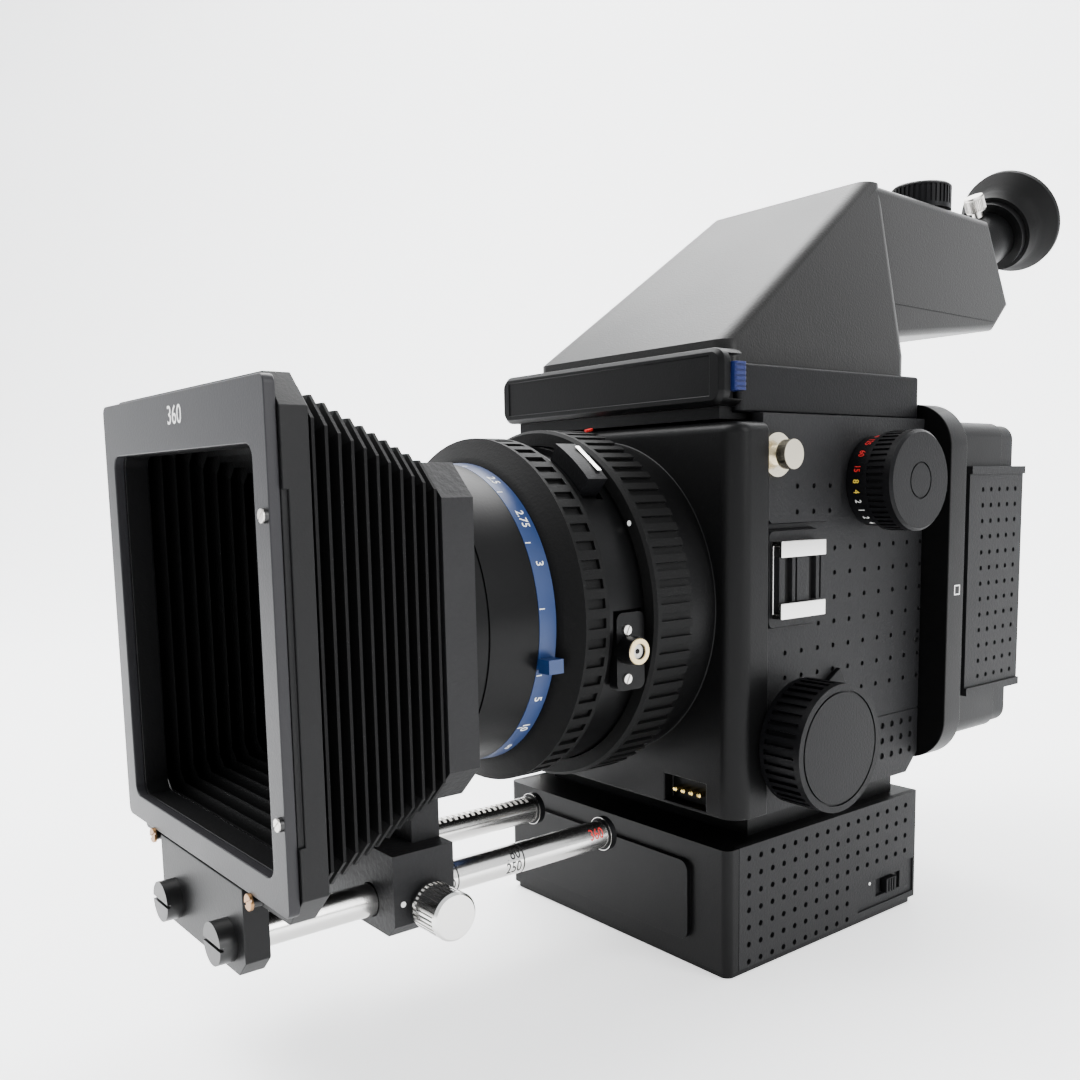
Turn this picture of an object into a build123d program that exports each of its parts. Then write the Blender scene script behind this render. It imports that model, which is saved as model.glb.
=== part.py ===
from build123d import *
import math
import os

os.makedirs("parts", exist_ok=True)

# A medium-format reflex camera with bellows focusing. Millimetres, +Z up, lens towards -Y.
# The origin is the tripod socket's mouth, in the underside of the power winder.

# ---------------------------------------------------------------- driving dimensions
gap = 0.3                   # clearance between bodies that move past each other
fit = 0.05                  # radial clearance of a running shaft

winder_half_w = 50.0
winder_front = -35.0
winder_rear = 56.5
winder_h = 37.5
deck_h = 6.5                # foot of the body that stands on the winder
axis_z = winder_h + 67.0    # height of the optical axis
winder_wall = 2.5
cover_t = 2.0               # thickness of the clip-on side covers
base_t = 2.0

body_half_w = 46.0          # shell, without its side panels
panel_t = 2.0
body_front = -21.0
body_rear = 58.3
body_bottom = winder_h + deck_h
body_top = axis_z + 52.5
body_wall = 4.0
body_floor_t = 6.0
body_roof_t = 6.0

standard_half_w = body_half_w + 7.3
standard_front = -35.5
standard_t = 13.0
standard_bottom = axis_z - 58.0
standard_top = axis_z + 49.7
throat_r = 31.5
pocket_depth = 8.0          # recess behind the standard that takes the folded bellows
pocket_half = 36.0

bellows_half_w = 34.0
bellows_half_h = 34.0
bellows_wall = 3.0
bulkhead_t = 3.0

shaft_y = -8.8              # focus shaft
shaft_z = axis_z - 39.0
shaft_r = 3.0
pinion_x = body_half_w - 8.0
pinion_w = 5.0
rack_pitch = math.pi
pinion_teeth = 14
tooth_h = 0.8
tooth_w = 1.2
knob_r = 17.9
knob_in = standard_half_w + 0.5              # inner face of the focus knobs, clear of the standard
knob_t = 13.6

barrel_r = 40.0             # front barrel of the lens
waist_r = 45.0
ring_core_r = 38.0
mount_ring_r = 49.3
aperture_ring_r = 46.8
collar_front = -47.3
mount_ring_front = -61.0
waist_front = -74.0
blue_rear = -86.0
blue_front = -91.0
barrel_front = -105.9
glass_r = 33.0
rear_bore_r = 27.5
lens_tail = -30.5

hood_rear = -109.5
filter_front = hood_rear    # the hood screws up against the filter thread
hood_rear_front = -118.0
hood_rear_half = 40.0
hood_frame_rear = -154.5
hood_frame_front = -160.5
hood_plate_front = -163.0
hood_z = axis_z + 2.1
hood_half_w = 49.4
hood_half_h = 53.8
hood_open_half_w = 42.6
hood_open_low = axis_z - 45.2
hood_open_high = axis_z + 43.0
rail_x = 16.5
rail_z = axis_z - 66.1
rail_r = 4.0
rail_rear = -52.0
tab_half_w = 25.5
tab_bottom = rail_z - 6.9

adapter_half = 57.3
adapter_front = body_rear + 0.5
adapter_rear = 68.0
turn_boss_r = 41.7
turn_bore_r = 38.5
gate_half_w = 34.8
gate_half_h = 28.0

back_half = 52.0
back_rear = 98.0
door_rear = 105.9
back_wall = 2.5
spool_y = 84.0
spool_dz = 38.5
spool_r = 10.3
seat_x = 42.0               # inner face of the spool seats
hinge_x = -back_half - 0.3  # rear door's hinge
door_axis_y = door_rear
door_barrel_r = 0.7
barrel_half = 35.0

prism_front = -27.0
prism_base_top = body_top + 13.0
prism_half_w = body_half_w + 0.5
roof_front = -26.5
roof_low = body_top + 20.0
apex_y = 54.0
apex_z = body_top + 74.0
tail_top_rear = 126.0
tail_rear = 143.5
tail_bottom = body_top + 27.0
eye_tilt = 28.6             # degrees above level
eye_y = 134.5
eye_z = body_top + 55.3
eye_r = 10.0
eye_len = 52.0


# ---------------------------------------------------------------- helpers
def block(x0, x1, y0, y1, z0, z1, mode=Mode.ADD):
    """A box between two corners, in the current part."""
    with Locations(((x0 + x1) / 2, (y0 + y1) / 2, (z0 + z1) / 2)):
        Box(abs(x1 - x0), abs(y1 - y0), abs(z1 - z0), mode=mode)


def rod(start, direction, length, radius, mode=Mode.ADD):
    """A cylinder from a start point along a direction, in the current part."""
    with Locations(Plane(origin=start, z_dir=direction)):
        Cylinder(radius, length, align=(Align.CENTER, Align.CENTER, Align.MIN), mode=mode)


def turned(profile, mode=Mode.ADD):
    """A body of revolution about the optical axis, from (y, radius) corners."""
    with BuildSketch(Plane(origin=(0, 0, axis_z), x_dir=(0, 1, 0), z_dir=(1, 0, 0))) as section:
        with BuildLine():
            Polyline(*profile, close=True)
        make_face()
    revolve(section.sketch, axis=Axis((0, 0, axis_z), (0, 1, 0)), mode=mode)


def side_profile(half_w, corners, mode=Mode.ADD):
    """A (y, z) outline extruded to both sides of the centre plane."""
    with BuildSketch(Plane(origin=(0, 0, 0), x_dir=(0, 1, 0), z_dir=(1, 0, 0))) as outline:
        with BuildLine():
            Polyline(*corners, close=True)
        make_face()
    extrude(outline.sketch, amount=half_w, both=True, mode=mode)


def frame_plate(y0, y1, half_w, low, high, corner, mode=Mode.ADD):
    """A plate across the optical axis, with its four corners cut at 45 degrees."""
    plane = Plane(origin=(0, y0, (low + high) / 2), x_dir=(1, 0, 0), z_dir=(0, 1, 0))
    with BuildSketch(plane) as outline:
        Rectangle(2 * half_w, high - low)
        chamfer(outline.vertices(), corner)
    extrude(outline.sketch, amount=y1 - y0, mode=mode)


def round_plate(y0, y1, half_w, low, high, radius, mode=Mode.ADD):
    """A plate across the optical axis, with four round corners."""
    plane = Plane(origin=(0, y0, (low + high) / 2), x_dir=(1, 0, 0), z_dir=(0, 1, 0))
    with BuildSketch(plane) as outline:
        RectangleRounded(2 * half_w, high - low, radius)
    extrude(outline.sketch, amount=y1 - y0, mode=mode)


def grip_grooves(centre, axis_dir, radius, start, length, count, depth, share=0.5):
    """Cut straight grip grooves around a knob or ring whose axis is axis_dir."""
    plane = Plane(origin=centre, z_dir=axis_dir).offset(start)
    width = 2 * math.pi * radius / count * share
    with BuildSketch(plane) as grooves:
        with PolarLocations(radius, count):
            Rectangle(2 * depth, width)
    extrude(grooves.sketch, amount=length, mode=Mode.SUBTRACT)


def dimples(x_face, depth, y0, z0, pitch_y, pitch_z, columns, rows, radius):
    """Blind dimples in a side face at x_face; a negative x_face is the right-hand side."""
    side = 1 if x_face > 0 else -1
    centre_y = y0 + pitch_y * (columns - 1) / 2
    centre_z = z0 - pitch_z * (rows - 1) / 2
    plane = Plane(origin=(x_face, centre_y, centre_z), x_dir=(0, 1, 0), z_dir=(side, 0, 0))
    with BuildSketch(plane) as spots:
        with GridLocations(pitch_y, pitch_z, columns, rows):
            Circle(radius)
    extrude(spots.sketch, amount=-depth, mode=Mode.SUBTRACT)


# ---------------------------------------------------------------- power winder
winder_inner_x = winder_half_w - cover_t
cover_front = winder_front + 4.8
socket_r = 7.0
socket_len = 12.0
door_front = 5.4            # the battery door is the rear part of the right-hand cover
door_hinge_x = -winder_half_w + 0.8
door_hinge_y = winder_rear + 1.1
door_hinge_r = 1.0
cell_r = 7.1
cell_len = 50.4
cell_pitch = 15.0
cell_y = 16.6
cell_z = 10.5

with BuildPart() as winder_shell:
    block(-winder_inner_x, winder_inner_x, winder_front, winder_rear, base_t, winder_h)
    block(-winder_half_w, winder_half_w, winder_front, cover_front - 0.2, base_t, winder_h)
    fillet(winder_shell.edges().filter_by(Axis.Z).group_by(Axis.Y)[0], 2.5)
    with BuildSketch(Plane(origin=(-0.5, winder_front, winder_h / 2 + 1), x_dir=(1, 0, 0), z_dir=(0, -1, 0))):
        RectangleRounded(2 * winder_half_w - 27, winder_h - 14, 3)
    extrude(amount=1.5)
    block(-winder_inner_x + winder_wall, winder_inner_x - winder_wall, winder_front + winder_wall,
          winder_rear - winder_wall, base_t, winder_h - winder_wall, mode=Mode.SUBTRACT)
    block(-winder_inner_x - 1, -winder_inner_x + winder_wall, door_front + 2.4, winder_rear - winder_wall,
          base_t + 1.2, winder_h - 3.5, mode=Mode.SUBTRACT)
    rod((0, -2, winder_h - winder_wall - 1), (0, 0, 1), winder_wall + 2, 6.3, mode=Mode.SUBTRACT)
    for lug_z in (base_t + 0.3, winder_h - 4.3):
        rod((door_hinge_x, door_hinge_y, lug_z), (0, 0, 1), 4, door_hinge_r)
        block(door_hinge_x, -winder_inner_x + 2, winder_rear, door_hinge_y + 0.5, lug_z, lug_z + 4)
        block(-winder_inner_x, -winder_inner_x + 2, winder_rear - 1, door_hinge_y, lug_z, lug_z + 4)
winder_shell.part.label = "winder_shell"
export_step(winder_shell.part, "parts/winder_shell.step")

with BuildPart() as winder_base:
    block(-winder_half_w + 1, winder_half_w - 1, winder_front + 1, winder_rear - 1, 0, base_t)
    fillet(winder_base.edges().filter_by(Axis.Z), 2.5)
    rod((0, 0, -1), (0, 0, 1), base_t + 2, socket_r, mode=Mode.SUBTRACT)
winder_base.part.label = "winder_base"
export_step(winder_base.part, "parts/winder_base.step")

with BuildPart() as tripod_socket:
    rod((0, 0, 0), (0, 0, 1), socket_len, socket_r)
    rod((0, 0, base_t), (0, 0, 1), 2, socket_r + 3)
    rod((0, 0, -1), (0, 0, 1), socket_len - 1, 2.6, mode=Mode.SUBTRACT)
tripod_socket.part.label = "tripod_socket"
export_step(tripod_socket.part, "parts/tripod_socket.step")

dot_pitch = 5.05
dot_y = cover_front + 4.1
dot_z = winder_h - 3.7
switch_y = 41.3
switch_z = 9.5
with BuildPart() as winder_covers:
    block(winder_inner_x, winder_half_w, cover_front, winder_rear, base_t, winder_h)
    fillet(winder_covers.edges().filter_by(Axis.Z).sort_by(Axis.X)[-1], 1.5)
    dimples(winder_half_w, 1.2, dot_y, dot_z, dot_pitch, dot_pitch, 16, 4, 0.85)
    dimples(winder_half_w, 1.2, dot_y, dot_z - 4 * dot_pitch, dot_pitch, dot_pitch, 10, 3, 0.85)
    block(winder_half_w - 0.5, winder_half_w + 1, 25, 54.5, 4.0, 15.2, mode=Mode.SUBTRACT)
    block(winder_half_w - 1.6, winder_half_w + 1, switch_y - 6.5, switch_y + 6.5,
          switch_z - 2.8, switch_z + 2.8, mode=Mode.SUBTRACT)
    block(-winder_half_w, -winder_inner_x, cover_front, door_front - 0.4, base_t, winder_h)
    dimples(-winder_half_w, 1.2, dot_y, dot_z, dot_pitch, dot_pitch, 6, 6, 0.85)
winder_covers.part.label = "winder_covers"
export_step(winder_covers.part, "parts/winder_covers.step")

with BuildPart() as battery_door:
    block(-winder_half_w, -winder_inner_x - gap, door_front, winder_rear - gap, base_t + 0.3, winder_h - 0.3)
    rod((door_hinge_x, door_hinge_y, base_t + 4.6), (0, 0, 1), winder_h - base_t - 9.2, door_hinge_r)
    block(-winder_half_w, -winder_inner_x - gap, winder_rear - 1, door_hinge_y, base_t + 5, winder_h - 5)
    dimples(-winder_half_w, 1.2, door_front + 5.1, dot_z - 0.8, dot_pitch, dot_pitch, 9, 6, 0.85)
battery_door.part.label = "battery_door"
export_step(battery_door.part, "parts/battery_door.step")

with BuildPart() as power_switch:
    block(winder_half_w - 1.4, winder_half_w + 0.9, switch_y - 2.6, switch_y + 2.6,
          switch_z - 2.4, switch_z + 2.4)
    switch_top = winder_half_w + 0.9
    with BuildSketch(Plane(origin=(switch_top, switch_y, switch_z), x_dir=(0, 1, 0), z_dir=(1, 0, 0))):
        with GridLocations(1.3, 1, 3, 1):
            Rectangle(0.5, 4.0)
    extrude(amount=-0.5, mode=Mode.SUBTRACT)
power_switch.part.label = "power_switch"
export_step(power_switch.part, "parts/power_switch.step")

with BuildPart() as battery_cells:
    for row in range(3):
        for layer in range(2):
            cell_start = (-cell_len / 2, cell_y + row * cell_pitch, cell_z + layer * cell_pitch)
            rod(cell_start, (1, 0, 0), cell_len, cell_r)
battery_cells.part.label = "battery_cells"
export_step(battery_cells.part, "parts/battery_cells.step")

motor_y = -20.0
motor_z = 22.0
with BuildPart() as winder_motor:
    rod((-winder_half_w + 14, motor_y, motor_z), (1, 0, 0), winder_half_w - 4, 9.5)
    rod((10, motor_y, motor_z), (1, 0, 0), 8, 1.5)
    rod((12, motor_y, motor_z), (1, 0, 0), 5, 4.0)
winder_motor.part.label = "winder_motor"
export_step(winder_motor.part, "parts/winder_motor.step")

with BuildPart() as drive_coupler:
    rod((0, -2, winder_h - 9), (0, 0, 1), 6.2, 8.5)
    rod((0, -2, winder_h - 9), (0, 0, 1), 12.5, 6.0)
    block(-4.5, 4.5, -3, -1, winder_h + 1.5, winder_h + 4, mode=Mode.SUBTRACT)
drive_coupler.part.label = "drive_coupler"
export_step(drive_coupler.part, "parts/drive_coupler.step")

# ---------------------------------------------------------------- camera body
cavity_half_w = body_half_w - body_wall
cavity_low = body_bottom + body_floor_t
cavity_high = body_top - body_roof_t
hinge_y = 50.0              # reflex mirror's hinge
hinge_z = axis_z + 37.0
pin_r = 1.5
pin_half = cavity_half_w + 1.5
screen_half_w = 36.0
screen_front = -12.0
screen_rear = 52.0
bulkhead_rear = body_front + bulkhead_t
side_x = body_half_w + panel_t
deck_half_w = body_half_w - 2.0

with BuildPart() as body_shell:
    block(-body_half_w, body_half_w, body_front, body_rear, body_bottom, body_top)
    chamfer_edge = body_shell.edges().filter_by(Axis.X).sort_by(Axis.Z)[:2].sort_by(Axis.Y)[-1]
    chamfer(chamfer_edge, 6)
    block(-deck_half_w, deck_half_w, body_front + 1, 50, winder_h, body_bottom)
    block(-cavity_half_w, cavity_half_w, body_front - 1, body_rear + 1, cavity_low, cavity_high,
          mode=Mode.SUBTRACT)
    block(-deck_half_w, deck_half_w, standard_front + 3.5, body_front, standard_top + 1, body_top + 1.5)
    block(-body_half_w - 1, body_half_w + 1, prism_front, body_front + 1, body_top, body_top + 2,
          mode=Mode.SUBTRACT)
    block(-screen_half_w + 3, screen_half_w - 3, screen_front + 3, screen_rear - 3,
          cavity_high - 1, body_top + 1, mode=Mode.SUBTRACT)
    block(-screen_half_w, screen_half_w, screen_front, screen_rear, body_top - 3, body_top + 1,
          mode=Mode.SUBTRACT)
    block(-cavity_half_w, cavity_half_w, bulkhead_rear - bulkhead_t, bulkhead_rear, cavity_low, hinge_z - 3)
    block(-29, 29, bulkhead_rear - bulkhead_t, bulkhead_rear, axis_z - 29.5, axis_z + 29.5,
          mode=Mode.SUBTRACT)
    for side in (-1, 1):
        block(side * (pinion_x - pinion_w), side * (pinion_x + 4), bulkhead_rear - bulkhead_t,
              bulkhead_rear, cavity_low, shaft_z + 10, mode=Mode.SUBTRACT)
    rod((-body_half_w - 1, shaft_y, shaft_z), (1, 0, 0), 2 * body_half_w + 2, shaft_r + fit,
        mode=Mode.SUBTRACT)
    rod((-pin_half - 0.3, hinge_y, hinge_z), (1, 0, 0), 2 * pin_half + 0.6, pin_r + fit, mode=Mode.SUBTRACT)
    rod((0, -2, winder_h - 1), (0, 0, 1), 6.5, 6.3, mode=Mode.SUBTRACT)
body_shell.part.label = "body_shell"
export_step(body_shell.part, "parts/body_shell.step")

shoe_y0 = -18.5
shoe_y1 = 0.8
shoe_z0 = axis_z - 3.9
shoe_z1 = shoe_z0 + 21.5
shoe_base_x = side_x + 2.5
dial_y = 31.3
dial_z = axis_z + 33.4
stud_y = -16.2
stud_z = axis_z + 41.0
raised_x = side_x + 1.5
raised_z = axis_z + 22.0

with BuildPart() as side_panel_left:
    block(body_half_w, side_x, body_front, body_rear, body_bottom, body_top)
    panel_corner = side_panel_left.edges().filter_by(Axis.X).sort_by(Axis.Z)[:2].sort_by(Axis.Y)[-1]
    chamfer(panel_corner, 6)
    with BuildSketch(Plane(origin=(side_x, 0, 0), x_dir=(0, 1, 0), z_dir=(1, 0, 0))):
        with BuildLine():
            Polyline((body_front, body_top), (body_front, raised_z + 3.5), (body_front + 4, raised_z),
                     (8, raised_z), (14, raised_z + 3.5), (14, body_top), close=True)
        make_face()
    extrude(amount=1.5, taper=12)
    with BuildSketch(Plane(origin=(side_x, (shoe_y0 + shoe_y1) / 2 + 1, (shoe_z0 + shoe_z1) / 2),
                           x_dir=(0, 1, 0), z_dir=(1, 0, 0))):
        RectangleRounded(shoe_y1 - shoe_y0 + 4.5, shoe_z1 - shoe_z0 + 6.5, 2.5)
    extrude(amount=shoe_base_x - side_x, taper=15)
    rod((body_half_w - 1, shaft_y, shaft_z), (1, 0, 0), 6, shaft_r + 1, mode=Mode.SUBTRACT)
    rod((body_half_w - 1, dial_y, dial_z), (1, 0, 0), 6, 4 + fit, mode=Mode.SUBTRACT)
    dimples(side_x, 0.9, 6, axis_z + 14.1, 7.35, 7.2, 8, 4, 0.75)
    dimples(side_x, 0.9, -9, axis_z - 14.7, 7.35, 7.2, 10, 2, 0.75)
    dimples(side_x, 0.9, 20.1, axis_z - 29.1, 7.35, 7.2, 6, 1, 0.75)
    dimples(raised_x, 0.9, -6, raised_z + 10.4, 7.35, 7.2, 3, 2, 0.75)
    dimples(side_x, 0.9, 29, body_bottom + 17.2, 5.0, 4.9, 6, 3, 1.05)
    block(side_x - 0.3, side_x + 1, 22, body_rear + 1, body_bottom + 20.4, body_bottom + 20.9,
          mode=Mode.SUBTRACT)
side_panel_left.part.label = "side_panel_left"
export_step(side_panel_left.part, "parts/side_panel_left.step")

lever_y = 12.0
lever_z = axis_z + 7.5
boss_x0 = -side_x - 10.0
boss_y0 = -16.0
boss_z0 = winder_h + 0.8
boss_z1 = shaft_z - knob_r - 0.4
button_x = -side_x - 5.2
button_z = (boss_z0 + boss_z1) / 2
button_r = 3.2

with BuildPart() as side_panel_right:
    block(-side_x, -body_half_w, body_front, body_rear, body_bottom, body_top)
    right_corner = side_panel_right.edges().filter_by(Axis.X).sort_by(Axis.Z)[:2].sort_by(Axis.Y)[-1]
    chamfer(right_corner, 6)
    block(boss_x0, -side_x, boss_y0, 2, boss_z0, boss_z1)
    block(-side_x, -deck_half_w, boss_y0, 2, boss_z0, body_bottom)
    rod((button_x, boss_y0 - 1, button_z), (0, 1, 0), 12, button_r + fit, mode=Mode.SUBTRACT)
    rod((-body_half_w + 1, shaft_y, shaft_z), (-1, 0, 0), 6, shaft_r + 1, mode=Mode.SUBTRACT)
    rod((-body_half_w + 1, lever_y, lever_z), (-1, 0, 0), 6, 5 + fit, mode=Mode.SUBTRACT)
    dimples(-side_x, 0.9, 27, axis_z + 35.5, 7.35, 7.2, 4, 10, 0.75)
    dimples(-side_x, 0.9, 29, body_bottom + 17.2, 5.0, 4.9, 6, 3, 1.05)
side_panel_right.part.label = "side_panel_right"
export_step(side_panel_right.part, "parts/side_panel_right.step")

plate_low = body_top + 1.5
plate_high = body_top + 16.5
plate_half_w = body_half_w + 2.5
notch_x = plate_half_w - 4.0
with BuildPart() as name_plate:
    block(-plate_half_w, plate_half_w, standard_front - 0.5, prism_front, plate_low, plate_high)
    fillet(name_plate.edges().filter_by(Axis.Y), 4)
    chamfer(name_plate.faces().sort_by(Axis.Y)[0].edges(), 1.2)
    block(notch_x, plate_half_w + 1, -32.5, prism_front + 1, plate_low + 1.7, plate_high - 1.5,
          mode=Mode.SUBTRACT)
    block(-notch_x, notch_x - 0.5, standard_front - 0.8, standard_front - 0.2, plate_low + 2.5,
          plate_high - 2.1, mode=Mode.SUBTRACT)
name_plate.part.label = "name_plate"
export_step(name_plate.part, "parts/name_plate.step")

slider_x = plate_half_w + 1.3
slider_z = (plate_low + plate_high) / 2 + 0.1
with BuildPart() as finder_slider:
    block(notch_x + gap, slider_x, -31.8, prism_front - 0.5, slider_z - 3.7, slider_z + 3.7)
    fillet(finder_slider.edges().filter_by(Axis.Z).group_by(Axis.X)[-1], 0.8)
    with BuildSketch(Plane(origin=(slider_x, -28.4, slider_z), x_dir=(0, 1, 0), z_dir=(1, 0, 0))):
        with GridLocations(1, 1.4, 1, 5):
            Rectangle(9, 0.5)
    extrude(amount=-0.5, mode=Mode.SUBTRACT)
finder_slider.part.label = "finder_slider"
export_step(finder_slider.part, "parts/finder_slider.step")

with BuildPart() as accessory_shoe:
    block(shoe_base_x, shoe_base_x + 4, shoe_y0, shoe_y1, shoe_z0, shoe_z1)
    block(shoe_base_x + 1.0, shoe_base_x + 2.9, shoe_y0 - 1, shoe_y1 + 1, shoe_z0 + 1.4, shoe_z1 - 1.4,
          mode=Mode.SUBTRACT)
    block(shoe_base_x + 1.0, shoe_base_x + 5, shoe_y0 - 1, shoe_y1 + 1, shoe_z0 + 4.5, shoe_z1 - 4.5,
          mode=Mode.SUBTRACT)
accessory_shoe.part.label = "accessory_shoe"
export_step(accessory_shoe.part, "parts/accessory_shoe.step")

with BuildPart() as strap_studs:
    for side, foot in ((1, raised_x), (-1, side_x)):
        rod((side * foot, stud_y, stud_z), (side, 0, 0), 1.5, 6.0)
        rod((side * (foot + 1.5), stud_y, stud_z), (side, 0, 0), 2.5, 2.8)
        rod((side * (foot + 4.0), stud_y, stud_z), (side, 0, 0), 3.0, 4.0)
strap_studs.part.label = "strap_studs"
export_step(strap_studs.part, "parts/strap_studs.step")

with BuildPart() as focusing_screen:
    block(-screen_half_w, screen_half_w, screen_front, screen_rear, body_top - 3, body_top - 1)
focusing_screen.part.label = "focusing_screen"
export_step(focusing_screen.part, "parts/focusing_screen.step")

mirror_len = 66.0
with BuildPart() as reflex_mirror:
    mirror_plane = Plane(origin=(0, hinge_y, hinge_z), x_dir=(1, 0, 0), z_dir=(0, 1, -1))
    with BuildSketch(mirror_plane):
        with Locations((0, mirror_len / 2)):
            RectangleRounded(64, mirror_len - 4, 3)
    extrude(amount=2)
    rod((-pin_half, hinge_y, hinge_z), (1, 0, 0), 2 * pin_half, pin_r)
    mirror_arm = Plane(origin=(0, hinge_y, hinge_z), x_dir=(1, 0, 0), z_dir=(0, 1, -1))
    with BuildSketch(mirror_arm):
        with Locations((0, 4)):
            Rectangle(60, 8)
    extrude(amount=1.4)
reflex_mirror.part.label = "reflex_mirror"
export_step(reflex_mirror.part, "parts/reflex_mirror.step")

# ---------------------------------------------------------------- focusing drive
rack_low = cavity_low + gap
rack_top = shaft_z - pinion_teeth * rack_pitch / (2 * math.pi)     # pitch line of the rack
rack_rear = 44.0
standard_rear = standard_front + standard_t
pinion_r = pinion_teeth * rack_pitch / (2 * math.pi)

with BuildPart() as focus_racks:
    for side in (-1, 1):
        rack_centre = side * pinion_x
        block(rack_centre - pinion_w / 2, rack_centre + pinion_w / 2, standard_rear, rack_rear,
              rack_low, rack_top - tooth_h - 0.1)
        with BuildSketch(Plane(origin=(rack_centre - pinion_w / 2, 0, 0), x_dir=(0, 1, 0), z_dir=(1, 0, 0))):
            first_tooth = shaft_y - rack_pitch / 2 - rack_pitch
            for tooth in range(18):
                tooth_y = first_tooth + tooth * rack_pitch
                with Locations((tooth_y, rack_top)):
                    Polygon((-tooth_w * 0.8, -tooth_h - 0.4), (tooth_w * 0.8, -tooth_h - 0.4),
                            (tooth_w * 0.3, tooth_h - 0.2), (-tooth_w * 0.3, tooth_h - 0.2),
                            align=(Align.NONE, Align.NONE))
        extrude(amount=pinion_w)
focus_racks.part.label = "focus_racks"
export_step(focus_racks.part, "parts/focus_racks.step")

shaft_half = knob_in + knob_t - 3.4
with BuildPart() as focus_shaft:
    rod((-shaft_half, shaft_y, shaft_z), (1, 0, 0), 2 * shaft_half, shaft_r)
    for side in (-1, 1):
        gear_x = side * pinion_x - pinion_w / 2
        rod((gear_x, shaft_y, shaft_z), (1, 0, 0), pinion_w, pinion_r - tooth_h - 0.1)
        with BuildSketch(Plane(origin=(gear_x, shaft_y, shaft_z), x_dir=(0, 0, -1), z_dir=(1, 0, 0))):
            with PolarLocations(0, pinion_teeth):
                Polygon((pinion_r - 1.4, -tooth_w * 0.7), (pinion_r + tooth_h - 0.2, -tooth_w * 0.3),
                        (pinion_r + tooth_h - 0.2, tooth_w * 0.3), (pinion_r - 1.4, tooth_w * 0.7),
                        align=(Align.NONE, Align.NONE))
        extrude(amount=pinion_w)
focus_shaft.part.label = "focus_shaft"
export_step(focus_shaft.part, "parts/focus_shaft.step")

knob_out = knob_in + knob_t
with BuildPart() as focus_knobs:
    for side in (-1, 1):
        rod((side * knob_in, shaft_y, shaft_z), (side, 0, 0), knob_t, knob_r)
        rod((side * (side_x + 2.2), shaft_y, shaft_z), (side, 0, 0), knob_in - side_x - 2.2, 8.5)
        grip_grooves((side * knob_in, shaft_y, shaft_z), (side, 0, 0), knob_r, 1.5, knob_t - 3.5, 40, 0.9)
        rod((side * knob_out, shaft_y, shaft_z), (-side, 0, 0), 0.5, knob_r - 1.8, mode=Mode.SUBTRACT)
        rod((side * (knob_out - 0.5), shaft_y, shaft_z), (side, 0, 0), 0.5, knob_r - 2.4)
        rod((side * (side_x + 1), shaft_y, shaft_z), (side, 0, 0), shaft_half - side_x - 1, shaft_r,
            mode=Mode.SUBTRACT)
focus_knobs.part.label = "focus_knobs"
export_step(focus_knobs.part, "parts/focus_knobs.step")

lock_angle = math.radians(31)
with BuildPart() as focus_lock_lever:
    with BuildSketch(Plane(origin=(side_x + gap, shaft_y, shaft_z), x_dir=(0, 1, 0), z_dir=(1, 0, 0))):
        Circle(9)
        with Locations((15 * math.cos(lock_angle), 15 * math.sin(lock_angle))):
            Rectangle(28, 6, rotation=math.degrees(lock_angle))
        Circle(shaft_r + fit, mode=Mode.SUBTRACT)
    extrude(amount=1.5)
focus_lock_lever.part.label = "focus_lock_lever"
export_step(focus_lock_lever.part, "parts/focus_lock_lever.step")

with BuildPart() as focusing_bellows:
    round_plate(standard_rear - pocket_depth, body_front, bellows_half_w, axis_z - bellows_half_h,
                axis_z + bellows_half_h, 2)
    round_plate(standard_rear - pocket_depth, body_front, bellows_half_w - bellows_wall,
                axis_z - bellows_half_h + bellows_wall, axis_z + bellows_half_h - bellows_wall, 1,
                mode=Mode.SUBTRACT)
focusing_bellows.part.label = "focusing_bellows"
export_step(focusing_bellows.part, "parts/focusing_bellows.step")

with BuildPart() as front_standard:
    block(-standard_half_w, standard_half_w, standard_front, standard_rear, standard_bottom, standard_top)
    fillet(front_standard.edges().filter_by(Axis.Z).group_by(Axis.Y)[0], 6)
    fillet(front_standard.edges().filter_by(Axis.X).group_by(Axis.Y)[0].sort_by(Axis.Z)[-1], 3)
    turned([(standard_front + 1, 0), (standard_front + 1, 46), (collar_front, 46), (collar_front, 0)])
    turned([(standard_rear + 1, 0), (standard_rear + 1, throat_r), (collar_front - 1, throat_r),
            (collar_front - 1, 0)], mode=Mode.SUBTRACT)
    round_plate(standard_rear - pocket_depth, standard_rear + 1, pocket_half, axis_z - pocket_half,
                axis_z + pocket_half, 3, mode=Mode.SUBTRACT)
    block(26, 42.2, standard_front - 1, standard_front + 3.5, standard_bottom + 1.1, standard_bottom + 8.7,
          mode=Mode.SUBTRACT)
front_standard.part.label = "front_standard"
export_step(front_standard.part, "parts/front_standard.step")

# ---------------------------------------------------------------- hand controls
with BuildPart() as shutter_dial:
    rod((side_x + gap, dial_y, dial_z), (1, 0, 0), 6.5, 13.4)
    rod((side_x + gap + 6.5, dial_y, dial_z), (1, 0, 0), 9.7, 14.7)
    chamfer(shutter_dial.faces().sort_by(Axis.X)[-1].edges(), 0.8)
    grip_grooves((side_x, dial_y, dial_z), (1, 0, 0), 14.7, 8, 5.5, 48, 0.6)
    rod((side_x + gap + 16.2, dial_y, dial_z), (-1, 0, 0), 0.5, 5.4, mode=Mode.SUBTRACT)
    rod((side_x + gap + 15.7, dial_y, dial_z), (1, 0, 0), 0.5, 4.9)
    rod((body_half_w + 0.1, dial_y, dial_z), (1, 0, 0), 4, 4)
shutter_dial.part.label = "shutter_dial"
export_step(shutter_dial.part, "parts/shutter_dial.step")

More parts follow.
